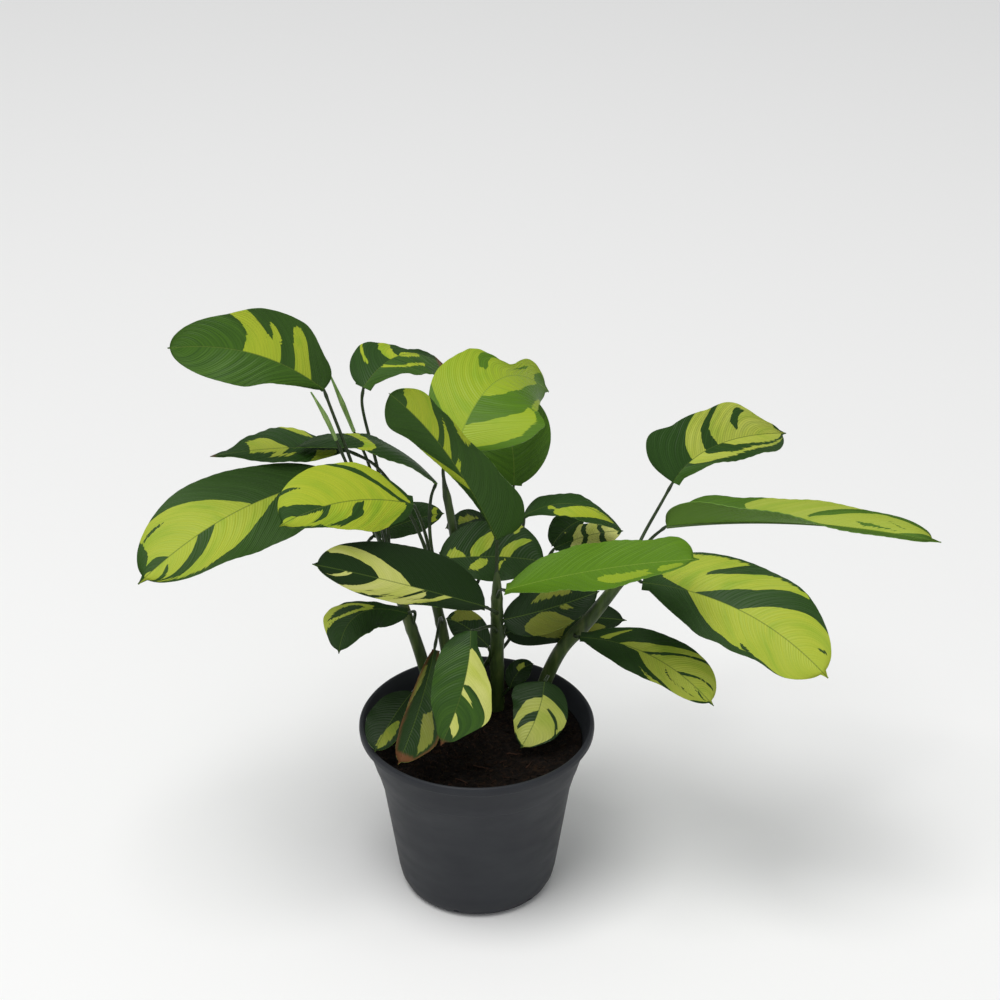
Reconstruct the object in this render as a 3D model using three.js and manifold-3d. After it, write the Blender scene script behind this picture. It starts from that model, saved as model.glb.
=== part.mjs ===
// Potted ctenanthe: a nursery pot of soil with five leafy shoots and thirty patterned leaves.
// Millimetres, +Z up. The origin is the centre of the pot's underside, +X is to the right and
// +Y points away from the viewer.
import * as THREE from "three";
import { mergeVertices } from "three/addons/utils/BufferGeometryUtils.js";
import Module from "manifold-3d";

const wasm = await Module();
wasm.setup();

// Pot: a thin moulded nursery pot, 14 cm over its rim
const POT_HEIGHT = 113;
const RIM_RADIUS = 70;
const RIM_HEIGHT = 7;
const COLLAR_TOP_RADIUS = 66;
const COLLAR_FOOT_RADIUS = 57.5;
const COLLAR_FOOT_HEIGHT = 74;
const WALL_TOP_RADIUS = 56.5;
const WALL_FOOT_RADIUS = 48;
const WALL_FOOT_HEIGHT = 13;
const BASE_RADIUS = 41;
const WALL = 1.6;
const COLLAR_STEP = 2;
const RIM_THICKNESS = 3;
const RIM_ROUND = 1;
// Points as radius and height: the rounded foot outside, and where wall and floor meet inside
const FOOT_CURVE = [[44.5, 2.5], [46.8, 7]];
const FLOOR_EDGE = [[43, 4], [40.5, WALL]];
const POT_SIDES = 48;
const DRAIN_COUNT = 8;
const DRAIN_RADIUS = 4;
const DRAIN_CIRCLE = 31;

// Soil: fills the pot to 12 mm below the rim and is a little uneven on top
const SOIL_LEVEL = 101;
const SOIL_TOP_RADIUS = 62.8;
const SOIL_FLOOR_EDGE = [[40, 1.95], [42.4, 4.4]];
const SOIL_BUMP = 1.2;
const SOIL_WAVES = [9, 7, 5];
const SOIL_SIDES = 36;
const SOIL_RINGS = 5;
const ROOT_DEPTH = 26;

// Fits: the space between pieces that stand in or against each other
const GAP = 0.35;
const LEAF_GAP = 0.45;

// Leaves and stalks
const BLADE_THICKNESS = 0.8;
const BLADE_STATIONS = [0, 0.04, 0.12, 0.23, 0.36, 0.5, 0.64, 0.77, 0.87, 0.94, 1];
const BLADE_COLUMNS = [-1, -0.5, 0, 0.5, 1];
const MARGIN_STATIONS = [0.1, 0.3, 0.5, 0.7, 0.9];
const PLAIN_MARGIN = [1, 1, 1, 1, 1];
// Shares of a half's width or of the midrib: the end of the rounded outline, the drip tip that
// goes on from it, the neck at the petiole, and the least width anywhere
const OUTLINE_END = 0.965;
const DRIP_WIDTH = 0.1;
const DRIP_LENGTH = 0.12;
const NECK_WIDTH = 0.05;
const NECK_LENGTH = 0.08;
const LEAST_WIDTH = 0.02;
const PETIOLE_RADIUS = 1.1;
const PETIOLE_END_RADIUS = 0.8;
const CANE_SIDES = 8;
const PETIOLE_SIDES = 5;

// Each leaf is given by three points on its midrib, the direction that its face looks (azimuth
// from the front, elevation), and its two half widths, left and right as seen looking at the
// face towards the tip. widest is where each half is widest along the midrib, and blunt is the
// power of its outline: a lower one gives fuller ends. fold lifts the halves from flat, in
// degrees, and curl bends them further towards the margin. A fold of four numbers gives the
// left half at base and tip, then the right half at base and tip. margin widens or narrows the
// outline of the left and the right half at each of MARGIN_STATIONS.
const LEAVES = [
  { name: "leaf_01", base: [-84, 5, 332], mid: [-122, -6, 360], tip: [-168, -2, 361],
    face: [0, 28], width: [21, 31], widest: [0.6, 0.38], blunt: 0.5, fold: 4, curl: 10,
    margin: [[0.65, 0.72, 0.92, 0.9, 0.9], [0.62, 0.85, 0.86, 0.72, 0.75]] },
  { name: "leaf_02", base: [-65, 57, 306], mid: [-44, 84, 313], tip: [-19, 100, 298],
    face: [60, 75], width: [26, 24], widest: [0.4, 0.5], blunt: 0.6, fold: 0,
    margin: [[0.8, 0.8, 0.5, 0.15, 0.2], [0.5, 0.6, 0.8, 1, 1]] },
  { name: "leaf_03", base: [-11, 30, 282], mid: [13, 70, 304], tip: [43, 113, 274],
    face: [0, 50], width: [28, 36], widest: [0.35, 0.45], blunt: 0.5, fold: 4,
    margin: [[1, 1.08, 0.98, 0.4, 1.05], [1.35, 1.2, 0.83, 0.75, 0.7]] },
  { name: "leaf_04", base: [22, 85, 225], mid: [19, 105, 251], tip: [5, 125, 272],
    face: [0, 30], width: [22, 25], widest: [0.5, 0.5], blunt: 0.6, fold: 0 },
  { name: "leaf_05", base: [12, 5, 235], mid: [-16, -5, 297], tip: [-47, -15, 340],
    face: [0, 30], width: [12, 19], widest: [0.8, 0.25], blunt: 0.5, fold: 6,
    margin: [[1.1, 1.1, 1.1, 1, 1.3], [1.3, 1, 0.85, 1, 1.5]] },
  { name: "leaf_06", base: [-75, 34, 278], mid: [-112, 26, 283], tip: [-151, 18, 282],
    face: [-20, 80], width: [12, 20], widest: [0.5, 0.55], blunt: 0.6, fold: 0, curl: -16,
    margin: [[1, 1, 0.97, 0.75, 0.45], [1, 1.2, 1.3, 0.9, 0.4]] },
  { name: "leaf_07", base: [-23, 36, 255], mid: [-61, 32, 285], tip: [-104, 22, 285],
    face: [180, 82], width: [14, 14], widest: [0.5, 0.5], blunt: 0.6, fold: 0, curl: -16,
    margin: [[1.2, 1.2, 1.2, 1, 1], [1, 1, 1, 1, 1]] },
  { name: "leaf_08", base: [-75, 20, 267], mid: [-133, -10, 263], tip: [-186, -55, 242],
    face: [-15, 45], width: [27, 30], widest: [0.55, 0.62], blunt: 0.5, fold: 4, curl: -10,
    margin: [[1.25, 1.15, 1.02, 0.93, 1], [0.9, 0.88, 0.92, 1, 0.97]] },
  { name: "leaf_09", base: [-35, -10, 267], mid: [-72, -35, 283], tip: [-106, -60, 282],
    face: [0, 45], width: [19, 25], widest: [0.4, 0.6], blunt: 0.5, fold: 0, curl: -16,
    margin: [[0.85, 0.97, 0.87, 0.75, 0.75], [1.1, 1.12, 1.02, 0.97, 1]] },
  { name: "leaf_10", base: [-61, 48, 212], mid: [-39, 50, 221], tip: [-19, 50, 226],
    face: [0, 50], width: [11, 9], widest: [0.5, 0.5], blunt: 0.6, fold: 4 },
  { name: "leaf_11", base: [5, -10, 199], mid: [-45, -40, 234], tip: [-89, -60, 258],
    face: [0, 50], width: [12, 25], widest: [0.5, 0.38], blunt: 0.5, fold: 2, curl: -8,
    margin: [[0.8, 0.8, 0.97, 1.1, 1], [1, 1, 0.95, 1, 1.05]] },
  { name: "leaf_12", base: [-40, 0, 188], mid: [-67, -15, 197], tip: [-78, -35, 183],
    face: [-30, 50], width: [12, 16], widest: [0.5, 0.65], blunt: 0.5, fold: 0, curl: -10,
    margin: [[1.2, 1.12, 1.12, 1.27, 1.25], [0.4, 0.5, 0.9, 1.08, 0.8]] },
  { name: "leaf_13", base: [-3, -25, 192], mid: [-7, -45, 168], tip: [-20, -60, 137],
    face: [0, 15], width: [19, 19], widest: [0.65, 0.45], blunt: 0.5, fold: 4, curl: -8,
    margin: [[0.6, 0.72, 0.92, 1.07, 0.75], [1, 0.97, 0.95, 0.97, 0.75]] },
  { name: "leaf_14", base: [-24, -20, 176], mid: [-33, -38, 146], tip: [-45, -55, 120],
    face: [-20, 15], width: [18, 7], widest: [0.65, 0.5], blunt: 0.5, fold: 10,
    margin: [[1, 1, 1, 1, 0.8], [0.9, 0.95, 1, 1.15, 1.3]] },
  { name: "leaf_15", base: [-38, -8, 138], mid: [-50, -25, 129], tip: [-59, -38, 117],
    face: [-20, 50], width: [12, 14], widest: [0.5, 0.5], blunt: 0.5, fold: 8 },
  { name: "leaf_16", base: [40, 2, 139], mid: [36, -12, 126], tip: [26, -26, 111],
    face: [0, 40], width: [18, 18], widest: [0.5, 0.35], blunt: 0.5, fold: 0, curl: -10,
    margin: [[1, 0.97, 0.97, 0.95, 0.8], [1.1, 1, 0.9, 0.9, 0.9]] },
  { name: "leaf_17", base: [20, 24, 120], mid: [25, 29, 128], tip: [34, 35, 130],
    face: [0, 40], width: [7, 7], widest: [0.5, 0.5], blunt: 0.6, fold: 8 },
  { name: "leaf_18", base: [9, 56, 210], mid: [-5, 62, 213], tip: [-19, 68, 205],
    face: [0, 50], width: [8, 8], widest: [0.5, 0.5], blunt: 0.6, fold: 4 },
  { name: "leaf_19", base: [-21, 19, 213], mid: [10, 24, 212], tip: [41, 26, 207],
    face: [0, 45], width: [22, 15], widest: [0.5, 0.5], blunt: 0.5, fold: 4,
    margin: [[1, 1, 0.95, 1.08, 1.1], [1, 1, 1, 1, 1]] },
  { name: "leaf_20", base: [28, 35, 233], mid: [57, 40, 238], tip: [85, 45, 218],
    face: [0, 75], width: [11, 10], widest: [0.5, 0.5], blunt: 0.6, fold: 0, curl: -10,
    margin: [[1.3, 0.97, 0.83, 0.87, 0.5], [0.75, 0.95, 1.1, 1.2, 1.2]] },
  { name: "leaf_21", base: [64, 66, 213], mid: [53, 70, 203], tip: [45, 72, 190],
    face: [10, 50], width: [10, 10], widest: [0.5, 0.5], blunt: 0.6, fold: 4 },
  { name: "leaf_22", base: [46, 45, 205], mid: [67, 50, 211], tip: [87, 55, 211],
    face: [10, 60], width: [8, 10], widest: [0.5, 0.5], blunt: 0.6, fold: 4 },
  { name: "leaf_23", base: [17, -10, 210], mid: [70, -25, 233], tip: [124, -45, 252],
    face: [10, 80], width: [27, 22], widest: [0.6, 0.5], blunt: 0.5, fold: 0, curl: 10,
    margin: [[1.4, 1.15, 0.83, 0.8, 1.1], [0.55, 0.7, 0.93, 1, 0.9]] },
  { name: "leaf_24", base: [96, 0, 209], mid: [152, -25, 205], tip: [198, -60, 183],
    face: [10, 45], width: [33, 22], widest: [0.5, 0.65], blunt: 0.5, fold: 0, curl: -12,
    margin: [[1, 0.92, 0.93, 1.03, 1], [1.55, 1.42, 1.12, 0.93, 1.15]] },
  { name: "leaf_25", base: [61, 10, 165], mid: [102, -10, 165], tip: [137, -35, 147],
    face: [10, 50], width: [17, 13], widest: [0.65, 0.62], blunt: 0.5, fold: 0, curl: -10,
    margin: [[1.2, 1.05, 1.03, 1.05, 1.2], [1.4, 1.3, 1.12, 0.95, 1]] },
  { name: "leaf_26", base: [115, 50, 247], mid: [142, 75, 258], tip: [187, 112, 246],
    face: [0, 50], width: [24, 24], widest: [0.35, 0.6], blunt: 0.5, fold: 22,
    margin: [[1.4, 0.98, 0.97, 1.2, 0.75], [0.6, 0.6, 0.7, 0.75, 0.95]] },
  { name: "leaf_27", base: [110, 20, 235], mid: [185, 8, 244], tip: [263, -15, 245],
    face: [0, 90], width: [20, 20], widest: [0.55, 0.35], blunt: 0.45, fold: [26, 24, 78, 0],
    margin: [[1.6, 0.98, 0.83, 0.77, 1.3], [1.15, 1, 1, 1, 1]] },
  { name: "leaf_28", base: [16, 12, 176], mid: [44, 14, 183], tip: [72, 18, 192],
    face: [0, 40], width: [15, 14], widest: [0.5, 0.4], blunt: 0.5, fold: 4 },
  { name: "leaf_29", base: [17, 28, 156], mid: [51, 38, 160], tip: [90, 44, 155],
    face: [0, 40], width: [13, 14], widest: [0.5, 0.4], blunt: 0.5, fold: 4 },
  { name: "leaf_30", base: [7, 8, 160], mid: [-6, 9, 173], tip: [-18, 10, 178],
    face: [0, 30], width: [9, 10], widest: [0.5, 0.5], blunt: 0.6, fold: 4 },
];

// Rolled new leaves that stand up as thin spikes: points along the roll with its radius
const ROLLED_LEAVES = [
  { name: "rolled_leaf_1", points: [[-71, 52, 280, 1.6], [-77, 52, 298, 2], [-84, 52, 318, 0.5]] },
  { name: "rolled_leaf_2", points: [[-78, 2, 302, 1.5], [-83, -3, 319, 1.8], [-90, -8, 337, 0.5]] },
];

// Each shoot is a cane that stands in the soil and the petioles that leave it. A cane's points
// carry their radius. A petiole leaves the cane at its first point and ends at its leaf's base.
const SHOOTS = [
  { name: "shoot_1",
    cane: [[-26, 28, 101, 3.9], [-33, 18, 146, 3.7], [-41, 14, 178, 3.4], [-49, 13, 207, 2.8],
      [-53, 14, 226, 1.8]],
    petioles: [
      { to: "leaf_01", via: [[-50, 13, 212], [-59, 12, 240], [-71, 8, 287], [-81, 5, 322]] },
      { to: "leaf_02", via: [[-51, 14, 214], [-52, 32, 239], [-58, 48, 260], [-66, 56, 296]] },
      { to: "leaf_08", via: [[-49, 13, 205], [-54, 17, 236], [-64, 20, 258]] },
      { to: "leaf_10", via: [[-49, 13, 204], [-58, 26, 208], [-64, 36, 213]] },
      { to: "leaf_12", via: [[-38, 15, 168], [-36, 8, 184]] },
      { to: "leaf_15", via: [[-27, 26, 108], [-31, 8, 133]] },
      { to: "rolled_leaf_1", via: [[-52, 14, 220], [-57, 30, 244], [-63, 46, 263]] },
      { to: "rolled_leaf_2", via: [[-51, 13, 216], [-61, 10, 248], [-71, 5, 280]] },
    ] },
  { name: "shoot_2",
    cane: [[-14, 32, 101, 3.5], [-20, 22, 160, 3.3], [-25, 20, 192, 2.9], [-25, 21, 216, 2.2]],
    petioles: [
      { to: "leaf_07", via: [[-25, 20, 208], [-27, 24, 232], [-26, 32, 248]] },
      { to: "leaf_06", via: [[-25, 20, 206], [-38, 30, 236], [-58, 36, 266]] },
      { to: "leaf_09", via: [[-25, 20, 204], [-29, 10, 235], [-33, -5, 259]] },
      { to: "leaf_14", via: [[-21, 22, 168], [-21, 4, 182], [-22, -12, 184]] },
    ] },
  { name: "shoot_3",
    cane: [[-2, 36, 101, 3.2], [-4, 36, 139, 3.1], [-9, 37, 181, 2.9], [-14, 38, 224, 2.6],
      [-19, 38, 256, 2.2]],
    petioles: [
      { to: "leaf_03", via: [[-17, 38, 244], [-19, 36, 264], [-15, 31, 276]] },
      { to: "leaf_04", via: [[-10, 38, 186], [6, 54, 194], [20, 76, 214]] },
      { to: "leaf_18", via: [[-7, 37, 168], [4, 46, 190], [10, 54, 204]] },
      { to: "leaf_19", via: [[-8, 36, 176], [-20, 24, 200]] },
      { to: "leaf_20", via: [[-3, 36, 120], [20, 48, 140], [27, 48, 178], [27, 45, 214]] },
      { to: "leaf_30", via: [[-3, 35, 118], [6, 22, 140], [8, 15, 150]] },
    ] },
  { name: "shoot_4",
    cane: [[12, 30, 101, 4.4], [12, 20, 150, 4.1], [12, 11, 190, 3.4], [12, 7, 214, 1.9]],
    petioles: [
      { to: "leaf_05", via: [[12, 8, 208], [12, 6, 224]] },
      { to: "leaf_11", via: [[12, 13, 180], [11, -3, 191]] },
      { to: "leaf_13", via: [[12, 16, 165], [8, -3, 181], [0, -18, 188]] },
      { to: "leaf_17", via: [[12, 28, 108], [16, 26, 114]] },
      { to: "leaf_22", via: [[12, 19, 155], [26, 32, 180], [40, 42, 197]] },
      { to: "leaf_23", via: [[12, 10, 192], [14, 0, 204]] },
      { to: "leaf_28", via: [[12, 17, 160], [14, 14, 170]] },
      { to: "leaf_29", via: [[12, 23, 136], [14, 26, 149]] },
    ] },
  { name: "shoot_5",
    cane: [[36, 28, 101, 4.3], [49, 24, 145, 4.2], [67, 20, 172, 4.1], [80, 18, 193, 3.6],
      [91, 20, 209, 2.4]],
    petioles: [
      { to: "leaf_16", via: [[38, 27, 108], [41, 14, 132], [42, 6, 140]] },
      { to: "leaf_21", via: [[62, 21, 165], [68, 46, 176], [73, 61, 211]] },
      { to: "leaf_24", via: [[84, 18, 198], [91, 8, 207]] },
      { to: "leaf_25", via: [[58, 22, 160], [58, 14, 163]] },
      { to: "leaf_26", via: [[88, 19, 205], [97, 34, 219], [108, 44, 236]] },
      { to: "leaf_27", via: [[89, 20, 206], [101, 20, 226]] },
    ] },
];

const POT_FINISH = { color: 0x2f343a, roughness: 0.55, metalness: 0 };
const SOIL_FINISH = { color: 0x1c130e, roughness: 0.95, metalness: 0 };
const STEM_FINISH = { color: 0x3d4f26, roughness: 0.6, metalness: 0 };
const LEAF_FINISH = { color: 0x3f7a33, roughness: 0.45, metalness: 0 };
const YOUNG_LEAF_FINISH = { color: 0x8ab83c, roughness: 0.45, metalness: 0 };
const YOUNG_LEAVES = ["leaf_03", "leaf_23"];

const vector = (values) => new THREE.Vector3(values[0], values[1], values[2]);
const radians = THREE.MathUtils.degToRad;
const mix = THREE.MathUtils.lerp;

// A closed solid in the boolean library from a geometry, and back again
function solidOf(geometry) {
  const bare = geometry.clone();
  bare.deleteAttribute("normal");
  bare.deleteAttribute("uv");
  const merged = mergeVertices(bare, 1e-4);
  return new wasm.Manifold(new wasm.Mesh({
    numProp: 3,
    vertProperties: new Float32Array(merged.attributes.position.array),
    triVerts: new Uint32Array(merged.index.array),
  }));
}

function geometryOf(solid) {
  const mesh = solid.getMesh();
  const geometry = new THREE.BufferGeometry();
  geometry.setAttribute("position", new THREE.BufferAttribute(new Float32Array(mesh.vertProperties), 3));
  geometry.setIndex([...mesh.triVerts]);
  return geometry;
}

function closedGeometry(points, triangles) {
  const geometry = new THREE.BufferGeometry();
  geometry.setFromPoints(points);
  geometry.setIndex(triangles);
  return geometry;
}

// A round stalk along a smooth curve through points that carry their radius
function stalk(knots, sides, stepsPerSpan = 2) {
  const curve = new THREE.CatmullRomCurve3(knots.map(vector), false, "centripetal");
  const steps = (knots.length - 1) * stepsPerSpan;
  const points = [];
  const side = new THREE.Vector3(1, 0.3, 0);
  for (let i = 0; i <= steps; i += 1) {
    const t = i / steps;
    const along = curve.getTangent(t);
    side.addScaledVector(along, -side.dot(along)).normalize();
    const other = new THREE.Vector3().crossVectors(along, side);
    const span = Math.min(Math.floor(t * (knots.length - 1)), knots.length - 2);
    const radius = mix(knots[span][3], knots[span + 1][3], t * (knots.length - 1) - span);
    for (let k = 0; k < sides; k += 1) {
      const angle = (2 * Math.PI * k) / sides;
      const point = curve.getPoint(t);
      point.addScaledVector(side, radius * Math.cos(angle));
      point.addScaledVector(other, radius * Math.sin(angle));
      points.push(point);
    }
  }
  const triangles = [];
  for (let i = 0; i < steps; i += 1) {
    for (let k = 0; k < sides; k += 1) {
      const a = i * sides + k;
      const b = i * sides + ((k + 1) % sides);
      triangles.push(a, b, b + sides, a, b + sides, a + sides);
    }
  }
  const last = steps * sides;
  for (let k = 1; k < sides - 1; k += 1) {
    triangles.push(0, k + 1, k, last, last + k, last + k + 1);
  }
  return closedGeometry(points, triangles);
}

// The pot turned from its section, with drain holes through its floor
function pot() {
  const outer = [
    [BASE_RADIUS, 0], ...FOOT_CURVE, [WALL_FOOT_RADIUS, WALL_FOOT_HEIGHT],
    [WALL_TOP_RADIUS, COLLAR_FOOT_HEIGHT - COLLAR_STEP], [COLLAR_FOOT_RADIUS, COLLAR_FOOT_HEIGHT],
    [COLLAR_TOP_RADIUS, POT_HEIGHT - RIM_HEIGHT - RIM_ROUND / 2],
    [RIM_RADIUS - RIM_ROUND, POT_HEIGHT - RIM_HEIGHT],
    [RIM_RADIUS, POT_HEIGHT - RIM_HEIGHT + RIM_ROUND], [RIM_RADIUS, POT_HEIGHT - RIM_ROUND],
    [RIM_RADIUS - RIM_ROUND, POT_HEIGHT],
  ];
  const inner = [
    [RIM_RADIUS - RIM_THICKNESS + RIM_ROUND / 2, POT_HEIGHT],
    [RIM_RADIUS - RIM_THICKNESS, POT_HEIGHT - RIM_ROUND],
    [COLLAR_TOP_RADIUS - WALL, POT_HEIGHT - RIM_HEIGHT - RIM_ROUND],
    [COLLAR_FOOT_RADIUS - WALL, COLLAR_FOOT_HEIGHT],
    [WALL_TOP_RADIUS - WALL, COLLAR_FOOT_HEIGHT - COLLAR_STEP],
    [WALL_FOOT_RADIUS - WALL, WALL_FOOT_HEIGHT], ...FLOOR_EDGE,
  ];
  const section = [[0, 0], ...outer, ...inner, [0, WALL]].map(([r, z]) => new THREE.Vector2(r, z));
  const turned = new THREE.LatheGeometry(section, POT_SIDES).rotateX(Math.PI / 2);
  let body = solidOf(turned);
  const drain = new THREE.CylinderGeometry(DRAIN_RADIUS, DRAIN_RADIUS, 4 * WALL, 12).rotateX(Math.PI / 2);
  for (let i = 0; i < DRAIN_COUNT; i += 1) {
    const angle = (2 * Math.PI * (i + 0.5)) / DRAIN_COUNT;
    const hole = drain.clone();
    hole.translate(DRAIN_CIRCLE * Math.cos(angle), DRAIN_CIRCLE * Math.sin(angle), 0);
    body = body.subtract(solidOf(hole));
  }
  return geometryOf(body);
}

function soilHeight(x, y) {
  const [long, cross, short] = SOIL_WAVES;
  const waves = Math.sin(x / long + 1) * Math.cos(y / cross) + 0.5 * Math.sin((x + y) / short);
  return SOIL_LEVEL + SOIL_BUMP * waves;
}

// The soil: a turned body with an uneven top and a plain hole for each cane
function soil() {
  const top = [];
  for (let i = 0; i <= SOIL_RINGS; i += 1) {
    top.push([SOIL_TOP_RADIUS * (1 - i / SOIL_RINGS), SOIL_LEVEL]);
  }
  const section = [
    [0, SOIL_FLOOR_EDGE[0][1]], ...SOIL_FLOOR_EDGE, [WALL_FOOT_RADIUS - WALL - GAP, WALL_FOOT_HEIGHT],
    [WALL_TOP_RADIUS - WALL - GAP, COLLAR_FOOT_HEIGHT - COLLAR_STEP],
    [COLLAR_FOOT_RADIUS - WALL - GAP, COLLAR_FOOT_HEIGHT],
    ...top,
  ].map(([r, z]) => new THREE.Vector2(r, z));
  const body = new THREE.LatheGeometry(section, SOIL_SIDES).rotateX(Math.PI / 2);
  const position = body.attributes.position;
  const edge = SOIL_TOP_RADIUS - 1;
  for (let i = 0; i < position.count; i += 1) {
    const [x, y, z] = [position.getX(i), position.getY(i), position.getZ(i)];
    if (z === SOIL_LEVEL && Math.hypot(x, y) < edge) {
      position.setZ(i, soilHeight(x, y));
    }
  }
  let solid = solidOf(body);
  for (const shoot of SHOOTS) {
    solid = solid.subtract(solidOf(cane(shoot, GAP)));
  }
  return geometryOf(solid);
}

// A cane with its root part under the soil; extra widens and deepens it to cut its hole
function cane(shoot, extra = 0) {
  const [x, y, z, radius] = shoot.cane[0];
  const knots = [[x, y, z - ROOT_DEPTH - extra, radius], ...shoot.cane];
  return stalk(knots.map(([a, b, c, r]) => [a, b, c, r + extra]), CANE_SIDES);
}

// Where a petiole ends: a small gap short of its leaf's base, more where the two meet at an angle
function petioleEnd(name, last) {
  const rolled = ROLLED_LEAVES.find((leaf) => leaf.name === name);
  const leaf = LEAVES.find((item) => item.name === name);
  const base = vector(rolled ? rolled.points[0] : leaf.base);
  const ahead = vector(rolled ? rolled.points[1] : midrib(leaf, NECK_LENGTH)).sub(base).normalize();
  const back = vector(last).sub(base).normalize();
  const sideways = new THREE.Vector3().crossVectors(back, ahead).length();
  const halfThickness = BLADE_THICKNESS / 2 + (rolled ? 1 : 0);
  return base.addScaledVector(back, LEAF_GAP + sideways * halfThickness).toArray();
}

// One shoot: its cane joined with its petioles
function shoot(item) {
  let body = solidOf(cane(item));
  for (const petiole of item.petioles) {
    const end = petioleEnd(petiole.to, petiole.via.at(-1));
    const knots = petiole.via.map((point) => [...point, PETIOLE_RADIUS]);
    knots.push([...end, PETIOLE_END_RADIUS]);
    body = body.add(solidOf(stalk(knots, PETIOLE_SIDES)));
  }
  return geometryOf(body);
}

// A point on the midrib, a parabola through base, mid and tip
function midrib(leaf, u) {
  return leaf.base.map((base, axis) => {
    const control = 2 * leaf.mid[axis] - (base + leaf.tip[axis]) / 2;
    return (1 - u) ** 2 * base + 2 * u * (1 - u) * control + u * u * leaf.tip[axis];
  });
}

// What a half's margin adds at u: 1 keeps the plain outline, and it changes smoothly on the way
function marginShare(shares, u) {
  const next = MARGIN_STATIONS.findIndex((station) => u < station);
  if (next === 0) {
    return shares[0];
  }
  if (next === -1) {
    return shares.at(-1);
  }
  const [from, to] = [MARGIN_STATIONS[next - 1], MARGIN_STATIONS[next]];
  return mix(shares[next - 1], shares[next], THREE.MathUtils.smoothstep(u, from, to));
}

// How wide a half is along the midrib: 1 where it is widest, with a narrow base and drip tip
function halfOutline(leaf, half, u) {
  const power = Math.log(0.5) / Math.log(leaf.widest[half]);
  const round = Math.max(0, Math.sin(Math.PI * Math.min(u / OUTLINE_END, 1) ** power));
  const body = round ** leaf.blunt * marginShare(leaf.margin?.[half] ?? PLAIN_MARGIN, u);
  const drip = DRIP_WIDTH * Math.min(1, (1 - u) / DRIP_LENGTH);
  const neck = NECK_WIDTH * (1 - u / NECK_LENGTH);
  return Math.max(body, drip, neck, LEAST_WIDTH);
}

function faceDirection([azimuth, elevation]) {
  const [a, e] = [radians(azimuth), radians(elevation)];
  return new THREE.Vector3(Math.sin(a) * Math.cos(e), -Math.cos(a) * Math.cos(e), Math.sin(e));
}

// A point of the blade's middle surface: u runs from base to tip, v from left to right margin
function bladePoint(leaf, u, v) {
  const step = 0.001;
  const along = vector(midrib(leaf, u + step)).sub(vector(midrib(leaf, u - step))).normalize();
  const side = new THREE.Vector3().crossVectors(along, faceDirection(leaf.face)).normalize();
  const face = new THREE.Vector3().crossVectors(side, along);
  const half = v < 0 ? 0 : 1;
  const width = leaf.width[half] * halfOutline(leaf, half, u);
  const folds = Array.isArray(leaf.fold) ? leaf.fold : [leaf.fold, leaf.fold, leaf.fold, leaf.fold];
  const fold = radians(mix(folds[2 * half], folds[2 * half + 1], u));
  const bend = fold + (radians(leaf.curl ?? 0) * Math.abs(v)) / 2;
  const reach = width * Math.abs(v);
  return vector(midrib(leaf, u))
    .addScaledVector(side, Math.sign(v) * reach * Math.cos(bend))
    .addScaledVector(face, reach * Math.sin(bend));
}

// A leaf blade: a grid of points given an even thickness, split alike on both faces
function blade(leaf) {
  const columns = BLADE_COLUMNS.length;
  const rows = BLADE_STATIONS.length;
  const upper = [];
  const lower = [];
  for (const u of BLADE_STATIONS) {
    for (const v of BLADE_COLUMNS) {
      const step = 0.01;
      const point = bladePoint(leaf, u, v);
      const along = bladePoint(leaf, Math.min(u + step, 1), v);
      along.sub(bladePoint(leaf, Math.max(u - step, 0), v));
      const across = bladePoint(leaf, u, Math.min(v + step, 1));
      across.sub(bladePoint(leaf, u, Math.max(v - step, -1)));
      const normal = across.cross(along).normalize();
      upper.push(point.clone().addScaledVector(normal, BLADE_THICKNESS / 2));
      lower.push(point.clone().addScaledVector(normal, -BLADE_THICKNESS / 2));
    }
  }
  const under = upper.length;
  const triangles = [];
  for (let i = 0; i < rows - 1; i += 1) {
    for (let j = 0; j < columns - 1; j += 1) {
      const a = i * columns + j;
      const [b, c, d] = [a + 1, a + columns + 1, a + columns];
      triangles.push(a, b, c, a, c, d);
      triangles.push(under + a, under + c, under + b, under + a, under + d, under + c);
    }
  }
  const rim = (a, b) => triangles.push(a, under + a, under + b, a, under + b, b);
  for (let i = 0; i < rows - 1; i += 1) {
    rim((i + 1) * columns, i * columns);
    rim((i + 1) * columns - 1, (i + 2) * columns - 1);
  }
  for (let j = 0; j < columns - 1; j += 1) {
    rim(j, j + 1);
    rim((rows - 1) * columns + j + 1, (rows - 1) * columns + j);
  }
  return closedGeometry([...upper, ...lower], triangles);
}

const plant = new THREE.Group();

function place(name, geometry, finish) {
  const mesh = new THREE.Mesh(geometry, new THREE.MeshStandardMaterial(finish));
  mesh.name = name;
  plant.add(mesh);
}

place("pot", pot(), POT_FINISH);
place("soil", soil(), SOIL_FINISH);
SHOOTS.forEach((item) => place(item.name, shoot(item), STEM_FINISH));
ROLLED_LEAVES.forEach((leaf) => place(leaf.name, stalk(leaf.points, PETIOLE_SIDES), YOUNG_LEAF_FINISH));
for (const leaf of LEAVES) {
  place(leaf.name, blade(leaf), YOUNG_LEAVES.includes(leaf.name) ? YOUNG_LEAF_FINISH : LEAF_FINISH);
}

export default plant;
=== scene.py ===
import random
from math import cos, exp, log, pi, radians, sin, sqrt

import bmesh
import bpy
from mathutils import Matrix, Vector, noise


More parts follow.
